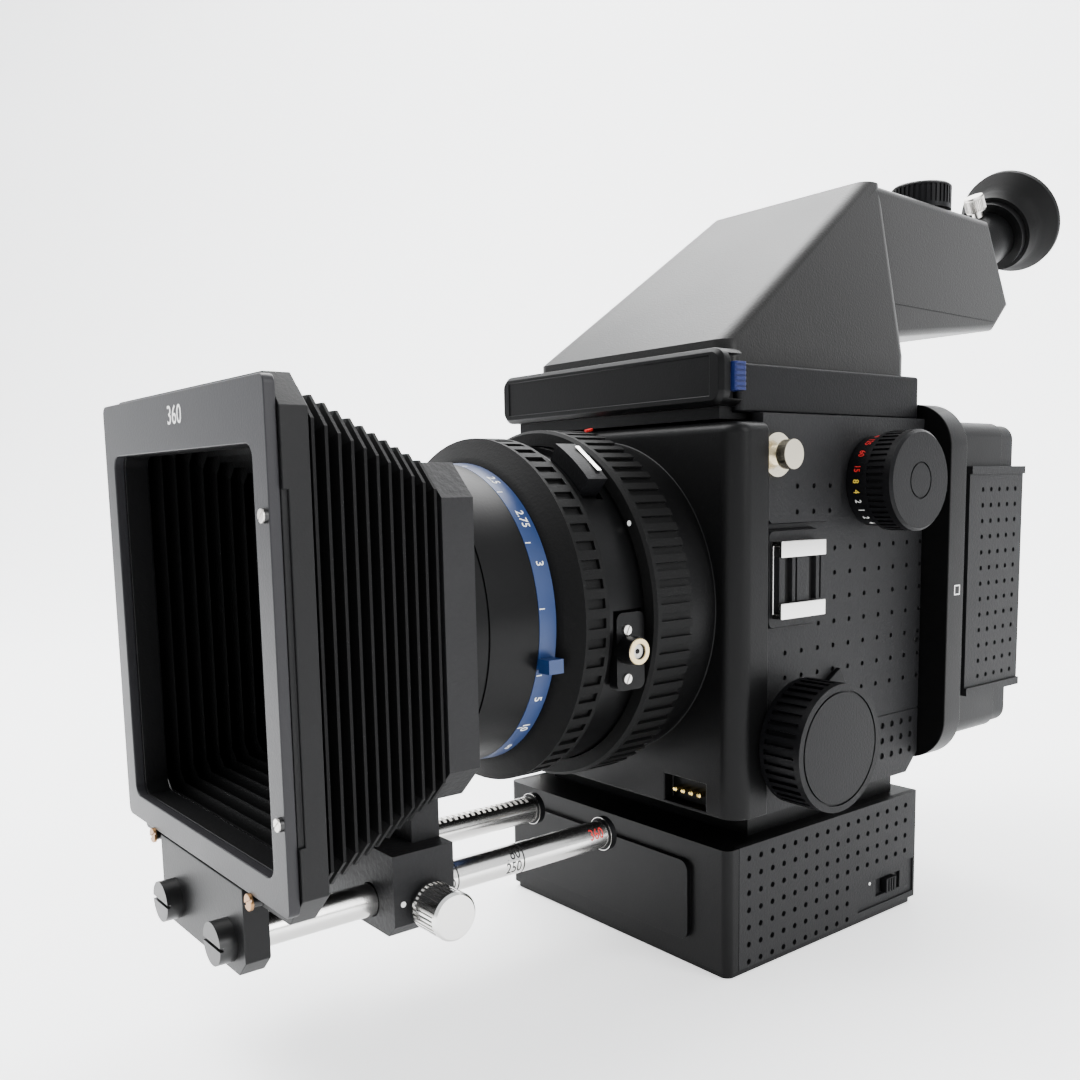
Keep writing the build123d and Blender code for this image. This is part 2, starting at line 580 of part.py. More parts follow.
with BuildPart() as cocking_lever:
    rod((-side_x - gap, lever_y, lever_z), (-1, 0, 0), 7, 11)
    rod((-body_half_w - 0.1, lever_y, lever_z), (-1, 0, 0), 6, 5)
    with BuildSketch(Plane(origin=(-side_x - 3, lever_y, lever_z), x_dir=(0, 1, 0), z_dir=(-1, 0, 0))):
        with Locations((0, 0)):
            SlotCenterToCenter(54, 11, rotation=90)
        with Locations((0, -20)):
            Rectangle(30, 40, mode=Mode.SUBTRACT)
    extrude(amount=4)
cocking_lever.part.label = "cocking_lever"
export_step(cocking_lever.part, "parts/cocking_lever.step")

with BuildPart() as release_button:
    rod((button_x, boss_y0 - 4.5, button_z), (0, 1, 0), 9.5, button_r)
    fillet(release_button.faces().sort_by(Axis.Y)[0].edges(), 0.8)
release_button.part.label = "release_button"
export_step(release_button.part, "parts/release_button.step")

with BuildPart() as release_collar:
    rod((button_x, boss_y0 - 2.3, button_z), (0, 1, 0), 2.0, 3.9)
    rod((button_x, boss_y0 - 3, button_z), (0, 1, 0), 4, button_r + gap, mode=Mode.SUBTRACT)
release_collar.part.label = "release_collar"
export_step(release_collar.part, "parts/release_collar.step")

# ---------------------------------------------------------------- lens
lever_front = -71.0
lever_w = 6.5
with BuildPart() as lens_rear_barrel:
    turned([(waist_front, rear_bore_r), (waist_front, waist_r + 0.6), (mount_ring_front - 0.4, waist_r - 0.4),
            (mount_ring_front - 0.4, waist_r - gap - 0.3), (collar_front, waist_r - gap - 0.3),
            (collar_front, throat_r), (lens_tail, throat_r), (lens_tail, rear_bore_r)])
    block(waist_r - 2, waist_r + 5, waist_front + 2, mount_ring_front - 0.4, axis_z - 18.5, axis_z + 2.5,
          mode=Mode.SUBTRACT)
    with BuildSketch(Plane(origin=(0, lever_front - gap, axis_z), x_dir=(1, 0, 0), z_dir=(0, 1, 0))):
        with BuildLine():
            slot_in = waist_r - 1.5 - gap
            slot_out = waist_r + 3
            slot_a = math.radians(42)
            slot_b = math.radians(88)
            slot_m = (slot_a + slot_b) / 2
            ThreePointArc((slot_in * math.cos(slot_a), -slot_in * math.sin(slot_a)),
                          (slot_in * math.cos(slot_m), -slot_in * math.sin(slot_m)),
                          (slot_in * math.cos(slot_b), -slot_in * math.sin(slot_b)))
            Line((slot_in * math.cos(slot_b), -slot_in * math.sin(slot_b)),
                 (slot_out * math.cos(slot_b), -slot_out * math.sin(slot_b)))
            ThreePointArc((slot_out * math.cos(slot_b), -slot_out * math.sin(slot_b)),
                          (slot_out * math.cos(slot_m), -slot_out * math.sin(slot_m)),
                          (slot_out * math.cos(slot_a), -slot_out * math.sin(slot_a)))
            Line((slot_out * math.cos(slot_a), -slot_out * math.sin(slot_a)),
                 (slot_in * math.cos(slot_a), -slot_in * math.sin(slot_a)))
        make_face()
    extrude(amount=lever_w + 2 * gap, mode=Mode.SUBTRACT)
lens_rear_barrel.part.label = "lens_rear_barrel"
export_step(lens_rear_barrel.part, "parts/lens_rear_barrel.step")

with BuildPart() as bayonet_ring:
    turned([(mount_ring_front, waist_r), (mount_ring_front, mount_ring_r - 0.8),
            (mount_ring_front + 0.8, mount_ring_r), (collar_front - 0.4, mount_ring_r),
            (collar_front - 0.4, waist_r)])
    grip_grooves((0, collar_front - 0.4, axis_z), (0, -1, 0), mount_ring_r, -0.5, 11.8, 72, 0.9)
bayonet_ring.part.label = "bayonet_ring"
export_step(bayonet_ring.part, "parts/bayonet_ring.step")

with BuildPart() as lens_front_barrel:
    turned([(barrel_front, glass_r + 1), (barrel_front, 37.3), (filter_front, 37.3), (filter_front, barrel_r),
            (blue_front - 0.2, barrel_r), (blue_front - 0.2, ring_core_r), (waist_front, ring_core_r),
            (waist_front, glass_r + 1)])
    turned([(barrel_front + 0.3, barrel_r - 0.4), (barrel_front + 0.3, barrel_r + 1),
            (barrel_front - 0.3, barrel_r + 1), (barrel_front - 0.3, barrel_r - 0.4)], mode=Mode.SUBTRACT)
lens_front_barrel.part.label = "lens_front_barrel"
export_step(lens_front_barrel.part, "parts/lens_front_barrel.step")

with BuildPart() as aperture_ring:
    turned([(blue_rear + 0.2, ring_core_r + gap), (blue_rear + 0.2, barrel_r), (-82.5, aperture_ring_r - 1),
            (-82.0, aperture_ring_r), (waist_front - 0.3, aperture_ring_r),
            (waist_front - 0.3, ring_core_r + gap)])
    grip_grooves((0, waist_front - 0.3, axis_z), (0, -1, 0), aperture_ring_r, 1.2, 5.6, 60, 0.9)
aperture_ring.part.label = "aperture_ring"
export_step(aperture_ring.part, "parts/aperture_ring.step")

with BuildPart() as distance_ring:
    turned([(blue_front, ring_core_r + gap), (blue_front, barrel_r), (blue_rear, barrel_r + 0.2),
            (blue_rear, ring_core_r + gap)])
    block(barrel_r - 0.8, barrel_r + 3.4, blue_front, blue_rear - 0.5, axis_z - 11.5, axis_z - 8)
distance_ring.part.label = "distance_ring"
export_step(distance_ring.part, "parts/distance_ring.step")

with BuildPart() as lens_glass:
    turned([(-104, 0), (-101, 20), (-96, glass_r + 1), (-93, glass_r + 1), (-92, 0)])
    turned([(-40, 0), (-40, rear_bore_r), (-36, rear_bore_r), (-33, 15), (-32.5, 0)])
lens_glass.part.label = "lens_glass"
export_step(lens_glass.part, "parts/lens_glass.step")

with BuildPart() as shutter_unit:
    turned([(-70, 14), (-70, rear_bore_r), (-60, rear_bore_r), (-60, 14)])
    turned([(-65.4, 3), (-65.4, 15), (-64.9, 15), (-64.9, 3)])
shutter_unit.part.label = "shutter_unit"
export_step(shutter_unit.part, "parts/shutter_unit.step")

with BuildPart() as sync_socket:
    block(waist_r - 2, waist_r + 1, waist_front + 2.6, mount_ring_front - 1, axis_z - 17.9, axis_z + 1.9)
    fillet(sync_socket.edges().filter_by(Axis.X), 2)
    rod((waist_r, -68, axis_z - 7.5), (1, 0, 0), 5.5, 3.6)
    rod((waist_r + 6, -68, axis_z - 7.5), (-1, 0, 0), 4, 1.9, mode=Mode.SUBTRACT)
    rod((waist_r + 2, -68, axis_z - 7.5), (1, 0, 0), 3, 0.6)
sync_socket.part.label = "sync_socket"
export_step(sync_socket.part, "parts/sync_socket.step")

lens_lever_mid = math.radians(54)
with BuildPart() as lens_lever:
    with BuildSketch(Plane(origin=(0, lever_front, axis_z), x_dir=(1, 0, 0), z_dir=(0, 1, 0))):
        with BuildLine():
            lever_inner = waist_r - 1.5
            lever_outer = 50.0
            start = lens_lever_mid - 0.16
            end = lens_lever_mid + 0.16
            corner_a = (lever_inner * math.cos(start), -lever_inner * math.sin(start))
            corner_b = (lever_inner * math.cos(end), -lever_inner * math.sin(end))
            corner_c = (lever_outer * math.cos(end), -lever_outer * math.sin(end))
            corner_d = (lever_outer * math.cos(start), -lever_outer * math.sin(start))
            mid_in = (lever_inner * math.cos(lens_lever_mid), -lever_inner * math.sin(lens_lever_mid))
            mid_out = (lever_outer * math.cos(lens_lever_mid), -lever_outer * math.sin(lens_lever_mid))
            ThreePointArc(corner_a, mid_in, corner_b)
            Line(corner_b, corner_c)
            ThreePointArc(corner_c, mid_out, corner_d)
            Line(corner_d, corner_a)
        make_face()
    extrude(amount=lever_w)
lens_lever.part.label = "lens_lever"
export_step(lens_lever.part, "parts/lens_lever.step")

# ---------------------------------------------------------------- bellows lens hood
block_front = -127.0
block_rear = -110.0
block_half_w = 28.0
block_low = rail_z - 6.9
block_high = axis_z - 52.5
clamp_y = -117.5
with BuildPart() as hood_rear_frame:
    frame_plate(hood_rear_front, hood_rear, hood_rear_half, axis_z - 39.5, axis_z + 39.5, 8)
    block(-block_half_w, block_half_w, block_front, block_rear, block_low, block_high)
    chamfer(hood_rear_frame.edges().filter_by(Axis.Y).group_by(Axis.Z)[0], 3)
    block(-22, 22, hood_rear_front, block_rear, block_high - 1, axis_z - 38.5)
    turned([(hood_rear, 33), (hood_rear, 37.3), (hood_rear + 2.5, 37.3), (hood_rear + 2.5, 33)])
    round_plate(hood_rear_front, hood_rear - 2, 33, axis_z - 33, axis_z + 33, 3, mode=Mode.SUBTRACT)
    turned([(hood_rear_front - 1, 0), (hood_rear_front - 1, 33), (hood_rear + 3, 33), (hood_rear + 3, 0)],
           mode=Mode.SUBTRACT)
    for side in (-1, 1):
        rod((side * rail_x, block_front - 1, rail_z), (0, 1, 0), 30, rail_r + gap, mode=Mode.SUBTRACT)
    rod((rail_x + rail_r + 2, clamp_y, rail_z), (1, 0, 0), 20, 2.5 + fit, mode=Mode.SUBTRACT)
hood_rear_frame.part.label = "hood_rear_frame"
export_step(hood_rear_frame.part, "parts/hood_rear_frame.step")

with BuildPart() as clamp_knob:
    rod((rail_x + rail_r + 2.5, clamp_y, rail_z), (1, 0, 0), 10, 2.5)
    rod((block_half_w + 2, clamp_y, rail_z), (1, 0, 0), 10, 5.9)
    chamfer(clamp_knob.faces().sort_by(Axis.X)[-1].edges(), 0.6)
    grip_grooves((block_half_w + 2, clamp_y, rail_z), (1, 0, 0), 5.9, 0.5, 8.2, 32, 0.35)
clamp_knob.part.label = "clamp_knob"
export_step(clamp_knob.part, "parts/clamp_knob.step")

with BuildPart() as hood_bellows:
    front_section = Plane(origin=(0, hood_frame_rear, hood_z - 0.5), x_dir=(1, 0, 0), z_dir=(0, 1, 0))
    rear_section = Plane(origin=(0, hood_rear_front, axis_z), x_dir=(1, 0, 0), z_dir=(0, 1, 0))
    with BuildSketch(front_section):
        Rectangle(2 * hood_half_w, 2 * hood_half_h - 1)
    with BuildSketch(rear_section):
        Rectangle(2 * hood_rear_half, 79)
    loft(ruled=True)
    with BuildSketch(front_section):
        Rectangle(2 * hood_open_half_w, 90)
    with BuildSketch(rear_section):
        Rectangle(66, 66)
    loft(ruled=True, mode=Mode.SUBTRACT)
hood_bellows.part.label = "hood_bellows"
export_step(hood_bellows.part, "parts/hood_bellows.step")

with BuildPart() as hood_front_frame:
    frame_plate(hood_frame_front, hood_frame_rear, hood_half_w + 1.1, hood_z - hood_half_h - 3.3,
                hood_z + hood_half_h + 0.9, 7)
    block(-tab_half_w, tab_half_w, hood_plate_front, hood_frame_front + 3.5, tab_bottom,
          hood_z - hood_half_h - gap)
    chamfer(hood_front_frame.edges().filter_by(Axis.Y).group_by(Axis.Z)[0], 4)
    round_plate(hood_frame_front - 1, hood_frame_rear + 1, hood_open_half_w, hood_open_low,
                hood_open_high, 3, mode=Mode.SUBTRACT)
    block(hood_half_w + 0.2, hood_half_w + 2, hood_frame_front - 1, hood_frame_front + 1.2, axis_z - 37,
          axis_z + 34, mode=Mode.SUBTRACT)
    for side in (-1, 1):
        rod((side * rail_x, hood_plate_front - 1, rail_z), (0, 1, 0), 10, 2.4, mode=Mode.SUBTRACT)
hood_front_frame.part.label = "hood_front_frame"
export_step(hood_front_frame.part, "parts/hood_front_frame.step")

with BuildPart() as hood_filter_plate:
    round_plate(hood_plate_front, hood_frame_front, hood_half_w, hood_z - hood_half_h,
                hood_z + hood_half_h, 2)
    round_plate(hood_plate_front, hood_frame_front, hood_open_half_w, hood_open_low, hood_open_high, 3,
                mode=Mode.SUBTRACT)
hood_filter_plate.part.label = "hood_filter_plate"
export_step(hood_filter_plate.part, "parts/hood_filter_plate.step")

rail_front = hood_frame_front + 3.5
notch_pitch = 2.0
with BuildPart() as hood_rails:
    for side in (-1, 1):
        rod((side * rail_x, rail_front, rail_z), (0, 1, 0), rail_rear - rail_front, rail_r)
        rod((side * rail_x, rail_rear, rail_z), (0, 1, 0), 2, 4.8)
    for notch in range(28):
        notch_y = rail_rear - 3 - notch * notch_pitch
        block(-rail_x - 4, -rail_x + 4, notch_y - 0.5, notch_y + 0.5, rail_z + 3.2, rail_z + 5,
              mode=Mode.SUBTRACT)
hood_rails.part.label = "hood_rails"
export_step(hood_rails.part, "parts/hood_rails.step")

with BuildPart() as hood_screws:
    for side in (-1, 1):
        rod((side * rail_x, hood_plate_front - 4, rail_z), (0, 1, 0), 4, 5)
        rod((side * rail_x, hood_plate_front, rail_z), (0, 1, 0), rail_front - hood_plate_front, 2.4)
        with Locations((side * rail_x, hood_plate_front - 4, rail_z)):
            Box(12, 1.6, 0.9, mode=Mode.SUBTRACT)
        rod((side * 30, hood_frame_front - 2.5, hood_z - hood_half_h - 1.6), (0, 1, 0), 2.5, 1.4)
        rod((hood_half_w - 1.6, hood_plate_front - 0.8, axis_z - 1.5 + side * 30.5), (0, 1, 0), 0.8, 1.5)
hood_screws.part.label = "hood_screws"
export_step(hood_screws.part, "parts/hood_screws.step")

# ---------------------------------------------------------------- revolving adapter and film back
with BuildPart() as revolving_adapter:
    round_plate(adapter_front, adapter_rear, adapter_half, axis_z - adapter_half, axis_z + adapter_half, 14)
    turned([(adapter_front - 4, turn_bore_r), (adapter_front - 4, turn_boss_r),
            (adapter_front, turn_boss_r), (adapter_front, turn_bore_r)])
    round_plate(adapter_front, adapter_rear, 36, axis_z - 36, axis_z + 36, 8, mode=Mode.SUBTRACT)
revolving_adapter.part.label = "revolving_adapter"
export_step(revolving_adapter.part, "parts/revolving_adapter.step")

slide_y = adapter_rear + 2.2
slide_t = 0.8
slide_half = 38.0
chamber_front = slide_y + slide_t + 1.6
with BuildPart() as film_back_shell:
    round_plate(adapter_rear, back_rear, back_half, axis_z - back_half, axis_z + back_half, 5)
    block(-back_half + back_wall, back_half - back_wall, chamber_front, back_rear + 1,
          axis_z - back_half + back_wall, axis_z + back_half - back_wall, mode=Mode.SUBTRACT)
    block(-gate_half_w, gate_half_w, adapter_rear - 1, chamber_front + 1, axis_z - gate_half_h,
          axis_z + gate_half_h, mode=Mode.SUBTRACT)
    block(-back_half - 1, slide_half + 2, slide_y - 0.3, slide_y + slide_t + 0.3, axis_z - slide_half - 0.3,
          axis_z + slide_half + 0.3, mode=Mode.SUBTRACT)
    for spool_z in (axis_z - spool_dz, axis_z + spool_dz):
        for side in (-1, 1):
            block(side * seat_x, side * (back_half - back_wall), spool_y - 6, spool_y + 6,
                  spool_z - 6, spool_z + 6)
            rod((side * (seat_x - 1), spool_y, spool_z), (side, 0, 0), 5, 3 + fit, mode=Mode.SUBTRACT)
    rod((-back_half - 1, spool_y, axis_z + spool_dz), (1, 0, 0), 12, 3 + fit, mode=Mode.SUBTRACT)
    for lug_z in (axis_z - barrel_half - 8.3, axis_z + barrel_half + 0.3):
        rod((hinge_x, door_axis_y, lug_z), (0, 0, 1), 8, door_barrel_r)
        block(hinge_x - door_barrel_r, hinge_x + 0.6, back_rear - 3, door_axis_y, lug_z, lug_z + 8)
film_back_shell.part.label = "film_back_shell"
export_step(film_back_shell.part, "parts/film_back_shell.step")

with BuildPart() as dark_slide:
    block(-back_half - 2, slide_half + 1, slide_y, slide_y + slide_t, axis_z - slide_half,
          axis_z + slide_half)
    block(-back_half - 8, -back_half - 2, slide_y, slide_y + slide_t + 1.2, axis_z - 22, axis_z + 22)
    block(-back_half - 6, -back_half - 3.5, slide_y - 1, slide_y + 4, axis_z - 18, axis_z + 18,
          mode=Mode.SUBTRACT)
dark_slide.part.label = "dark_slide"
export_step(dark_slide.part, "parts/dark_slide.step")

for spool_name, spool_z in (("takeup_spool", axis_z + spool_dz), ("supply_spool", axis_z - spool_dz)):
    with BuildPart() as spool:
        rod((-33, spool_y, spool_z), (1, 0, 0), 66, 5.5)
        rod((-33, spool_y, spool_z), (1, 0, 0), 1.2, spool_r)
        rod((31.8, spool_y, spool_z), (1, 0, 0), 1.2, spool_r)
        rod((-seat_x - 3, spool_y, spool_z), (1, 0, 0), seat_x - 30, 3)
        rod((33, spool_y, spool_z), (1, 0, 0), seat_x - 30, 3)
    spool.part.label = spool_name
    export_step(spool.part, "parts/" + spool_name + ".step")

with BuildPart() as advance_lever:
    rod((-seat_x - 3.3, spool_y, axis_z + spool_dz), (-1, 0, 0), back_half - seat_x - 2, 3)
    rod((-back_half - gap, spool_y, axis_z + spool_dz), (-1, 0, 0), 4.5, 7)
    arm_root = (-back_half - 1.3, spool_y, axis_z + spool_dz)
    with BuildSketch(Plane(origin=arm_root, x_dir=(0, 1, 0), z_dir=(-1, 0, 0))):
        with Locations((0, 15)):
            SlotOverall(38, 8, rotation=90)
    extrude(amount=3.5)
advance_lever.part.label = "advance_lever"
export_step(advance_lever.part, "parts/advance_lever.step")

flap_front = 74.0
flap_rear = 107.2
flap_x = back_half + 3.0
with BuildPart() as rear_door:
    round_plate(back_rear + gap, door_rear, back_half - 0.5, axis_z - back_half + 0.7,
                axis_z + back_half - 0.7, 5)
    block(back_half + gap, flap_x, flap_front, flap_rear, axis_z - 37.5, axis_z + 37.5)
    block(back_half - 3, flap_x, back_rear + gap, flap_rear, axis_z - 37.5, axis_z + 37.5)
    block(flap_x - 0.6, flap_x + 0.8, flap_front, flap_rear, axis_z + 35, axis_z + 37.5)
    block(flap_x - 0.6, flap_x + 0.8, flap_front, flap_rear, axis_z - 37.5, axis_z - 35)
    rod((hinge_x, door_axis_y, axis_z - barrel_half), (0, 0, 1), 2 * barrel_half, door_barrel_r)
    block(hinge_x, hinge_x + 2, door_axis_y - 0.6, door_axis_y + 0.4, axis_z - barrel_half,
          axis_z + barrel_half)
    dimples(flap_x, 0.9, flap_front + 8, axis_z + 30, 5.1, 5.15, 5, 13, 0.8)
rear_door.part.label = "rear_door"
export_step(rear_door.part, "parts/rear_door.step")

with BuildPart() as pressure_plate:
    block(-36, 36, back_rear - 2.8, back_rear - 1.8, axis_z - 27, axis_z + 27)
    for side in (-1, 1):
        block(side * 18 - 4, side * 18 + 4, back_rear - 1.8, back_rear + gap, axis_z - 5, axis_z + 5)
pressure_plate.part.label = "pressure_plate"
export_step(pressure_plate.part, "parts/pressure_plate.step")

# ---------------------------------------------------------------- prism finder
with BuildPart() as prism_base:
    block(-prism_half_w, prism_half_w, prism_front, body_rear - 0.5, body_top, prism_base_top)
    fillet(prism_base.edges().filter_by(Axis.Z), 2)
    block(-screen_half_w, screen_half_w, screen_front, screen_rear, body_top - 1, prism_base_top + 1,
          mode=Mode.SUBTRACT)
prism_base.part.label = "prism_base"
export_step(prism_base.part, "parts/prism_base.step")

tail_half_front = 33.5
tail_half_rear = 28.0
with BuildPart() as prism_housing:
    side_profile(tail_half_front + 1, [(apex_y - 12, tail_bottom), (apex_y - 12, apex_z - 9),
                 (apex_y, apex_z - 0.6), (tail_top_rear, apex_z - 1), (tail_rear, apex_z - 29),
                 (tail_rear - 11, apex_z - 39), (body_rear + 2, tail_bottom)])
    with BuildSketch(Plane.XY.offset(prism_base_top)):
        with BuildLine():
            Polyline((-tail_half_front - 0.5, 40), (tail_half_front + 0.5, 40), (tail_half_rear, 145),
                     (-tail_half_rear, 145), close=True)
        make_face()
    extrude(amount=70, mode=Mode.INTERSECT)
    fillet(prism_housing.edges().filter_by(lambda e: abs(e.center().X) > 20 and e.center().Y > 70), 2.5)
    with BuildSketch(Plane.XY.offset(roof_low)):
        with Locations((0, (roof_front + 58.5) / 2)):
            RectangleRounded(2 * 41.5, 58.5 - roof_front, 5)
    with BuildSketch(Plane.XY.offset(apex_z)):
        with Locations((0, 51.5)):
            RectangleRounded(2 * 32.7, 9, 4)
    loft(ruled=True)
    with BuildSketch(Plane.XY.offset(prism_base_top)):
        with Locations((0, (roof_front + 58.5) / 2)):
            RectangleRounded(2 * 41.5, 58.5 - roof_front, 5)
    extrude(amount=roof_low - prism_base_top)
    with BuildSketch(Plane.XY.offset(prism_base_top)):
        with Locations((0, 16)):
            Rectangle(74, 70)
    with BuildSketch(Plane.XY.offset(apex_z - 9)):
        with Locations((0, 48)):
            Rectangle(56, 5)
    loft(ruled=True, mode=Mode.SUBTRACT)
    side_profile(25, [(56, tail_bottom + 3.5), (56, apex_z - 5), (tail_top_rear - 4, apex_z - 4.5),
                 (tail_rear - 5, apex_z - 28), (tail_rear - 12.5, apex_z - 35.5)], mode=Mode.SUBTRACT)
    eye_dir = (0, math.cos(math.radians(eye_tilt)), math.sin(math.radians(eye_tilt)))
    eye_plane = Plane(origin=(0, eye_y, eye_z), x_dir=(1, 0, 0), z_dir=eye_dir)
    with Locations(eye_plane):
        Cylinder(eye_r, 30, mode=Mode.SUBTRACT)
prism_housing.part.label = "prism_housing"
export_step(prism_housing.part, "parts/prism_housing.step")

with BuildPart() as prism_glass:
    side_profile(27, [(-12, prism_base_top + 1), (48, prism_base_top + 1), (49, apex_z - 19),
                 (40, apex_z - 19)])
prism_glass.part.label = "prism_glass"
export_step(prism_glass.part, "parts/prism_glass.step")

with BuildPart() as eyepiece_tube:
    with Locations(eye_plane.offset(-7)):
        Cylinder(eye_r, eye_len + 7, align=(Align.CENTER, Align.CENTER, Align.MIN))
    with Locations(eye_plane.offset(eye_len - 3)):
        Cylinder(eye_r + 3.5, 3, align=(Align.CENTER, Align.CENTER, Align.MIN))
    with Locations(eye_plane.offset(-8)):
        Cylinder(eye_r - 2.5, eye_len + 10, align=(Align.CENTER, Align.CENTER, Align.MIN), mode=Mode.SUBTRACT)
    with Locations(eye_plane.offset(eye_len - 8)):
        Cylinder(eye_r - 2.5, 4, align=(Align.CENTER, Align.CENTER, Align.MIN))
eyepiece_tube.part.label = "eyepiece_tube"
export_step(eyepiece_tube.part, "parts/eyepiece_tube.step")

cup_rim_r = 20.7
with BuildPart() as eyecup:
    with BuildSketch(Plane(origin=(0, eye_y, eye_z), x_dir=eye_dir, z_dir=(1, 0, 0))):
        with BuildLine():
            Polyline((eye_len + gap, 8), (eye_len + gap, 15), (eye_len + 3, 15), (eye_len + 7, 16),
                     (eye_len + 13, cup_rim_r), (eye_len + 15, cup_rim_r), (eye_len + 15, cup_rim_r - 2),
                     (eye_len + 9, 14.5), (eye_len + 4, 10), (eye_len + 4, 8), close=True)
        make_face()
    revolve(axis=Axis((0, eye_y, eye_z), eye_dir))
eyecup.part.label = "eyecup"
export_step(eyecup.part, "parts/eyecup.step")

dial_top_y = 97.0
dial_top_x = 20.0
with BuildPart() as finder_dial:
    rod((dial_top_x, dial_top_y, apex_z - 0.4), (0, 0, 1), 8.4, 10.0)
    chamfer(finder_dial.faces().sort_by(Axis.Z)[-1].edges(), 0.6)
    grip_grooves((dial_top_x, dial_top_y, apex_z - 0.4), (0, 0, 1), 10.0, 1.5, 5.8, 36, 0.45)
finder_dial.part.label = "finder_dial"
export_step(finder_dial.part, "parts/finder_dial.step")

eye_up = (0, -math.sin(math.radians(eye_tilt)), math.cos(math.radians(eye_tilt)))
knob_s = eye_len - 8
lock_base = eye_plane.from_local_coords(Vector(0, 0, knob_s)) + Vector(*eye_up) * (eye_r + gap)
with BuildPart() as eyepiece_lock_knob:
    with Locations(Plane(origin=lock_base, z_dir=eye_up)):
        Cylinder(2.0, 3, align=(Align.CENTER, Align.CENTER, Align.MIN))
    with Locations(Plane(origin=lock_base + Vector(*eye_up) * 2.5, z_dir=eye_up)):
        Cylinder(3.6, 6, align=(Align.CENTER, Align.CENTER, Align.MIN))
eyepiece_lock_knob.part.label = "eyepiece_lock_knob"
export_step(eyepiece_lock_knob.part, "parts/eyepiece_lock_knob.step")
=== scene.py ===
import bpy
import math
from mathutils import Matrix, Vector


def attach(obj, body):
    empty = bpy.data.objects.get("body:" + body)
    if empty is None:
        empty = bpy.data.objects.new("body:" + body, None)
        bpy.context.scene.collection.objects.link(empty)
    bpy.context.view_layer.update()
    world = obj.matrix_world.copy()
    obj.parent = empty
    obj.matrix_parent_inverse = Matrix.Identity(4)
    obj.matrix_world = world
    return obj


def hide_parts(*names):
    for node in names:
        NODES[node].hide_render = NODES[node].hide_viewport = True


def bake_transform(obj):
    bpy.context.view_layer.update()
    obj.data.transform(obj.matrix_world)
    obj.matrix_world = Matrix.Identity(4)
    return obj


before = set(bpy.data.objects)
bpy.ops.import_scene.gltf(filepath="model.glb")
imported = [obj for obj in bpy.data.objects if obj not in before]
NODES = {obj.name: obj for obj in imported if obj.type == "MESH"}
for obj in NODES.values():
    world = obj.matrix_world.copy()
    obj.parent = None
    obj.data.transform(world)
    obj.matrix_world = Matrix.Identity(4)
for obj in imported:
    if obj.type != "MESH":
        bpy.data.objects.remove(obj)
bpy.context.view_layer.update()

# lengths are in millimetres and MM turns them into metres; lamps and the camera are placed in metres
MM = 0.001
AXIS_Z = 104.5                # height of the lens axis
PANEL_X = 48.0                # outer face of the body's side panel
POD_X = 49.5                  # outer face of the panel's upper part
WINDER_X = 50.0               # outer face of the winder
FLAP_X = 55.0                 # outer face of the film back's flap
RAIL_X, RAIL_Z = 16.5, 38.4   # centre line of a hood rail
SOCKET = (50.5, -68, 97)      # mouth of the cable socket on the lens
OUT, FRONT, REAR, UP = (1, 0, 0), (0, -1, 0), (0, 1, 0), (0, 0, 1)


# ------------------------------------------------------------------ materials
DULL = 0.40                   # share of its specular level that a non-metal keeps


def noise(tree, coord, scale, detail):
    """A noise texture in the object's own coordinates."""
    made = tree.nodes.new("ShaderNodeTexNoise")
    made.inputs["Scale"].default_value = scale
    made.inputs["Detail"].default_value = detail
    tree.links.new(coord.outputs["Object"], made.inputs["Vector"])
    return made


def shade(name, color, rough, metal=0.0, grain=0.0, grain_scale=900.0, vary=0.0, coat=0.0,
          transmission=0.0, ior=1.45, spec=0.5, rough_vary=0.0):
    """A procedural material: optional fine grain in the surface, slight change of tone and of gloss."""
    material = bpy.data.materials.new(name)
    material.use_nodes = True
    tree = material.node_tree
    surface = tree.nodes["Principled BSDF"]
    surface.inputs["Base Color"].default_value = (*color, 1)
    surface.inputs["Roughness"].default_value = rough
    surface.inputs["Metallic"].default_value = metal
    surface.inputs["IOR"].default_value = ior
    surface.inputs["Coat Weight"].default_value = coat
    surface.inputs["Coat Roughness"].default_value = 0.15
    surface.inputs["Transmission Weight"].default_value = transmission
    surface.inputs["Specular IOR Level"].default_value = spec if metal or transmission else spec * DULL
    coord = tree.nodes.new("ShaderNodeTexCoord")
    if grain > 0:
        fine = noise(tree, coord, grain_scale, 3)
        bump = tree.nodes.new("ShaderNodeBump")
        bump.inputs["Strength"].default_value = grain
        bump.inputs["Distance"].default_value = 0.0002
        tree.links.new(fine.outputs["Fac"], bump.inputs["Height"])
        tree.links.new(bump.outputs["Normal"], surface.inputs["Normal"])
    if vary > 0 or rough_vary > 0:
        coarse = noise(tree, coord, 22, 4)
    if vary > 0:
        ramp = tree.nodes.new("ShaderNodeValToRGB")
        low, high = ramp.color_ramp.elements
        low.position, high.position = 0.3, 0.7
        low.color = (*[c * (1 - vary) for c in color], 1)
        high.color = (*[min(1, c * (1 + vary)) for c in color], 1)
        tree.links.new(coarse.outputs["Fac"], ramp.inputs["Fac"])
        tree.links.new(ramp.outputs["Color"], surface.inputs["Base Color"])
    if rough_vary > 0:
        span = tree.nodes.new("ShaderNodeMapRange")
        span.inputs["To Min"].default_value = max(0.02, rough - rough_vary)
        span.inputs["To Max"].default_value = min(1, rough + rough_vary)
        tree.links.new(coarse.outputs["Fac"], span.inputs["Value"])
        tree.links.new(span.outputs["Result"], surface.inputs["Roughness"])
    return material


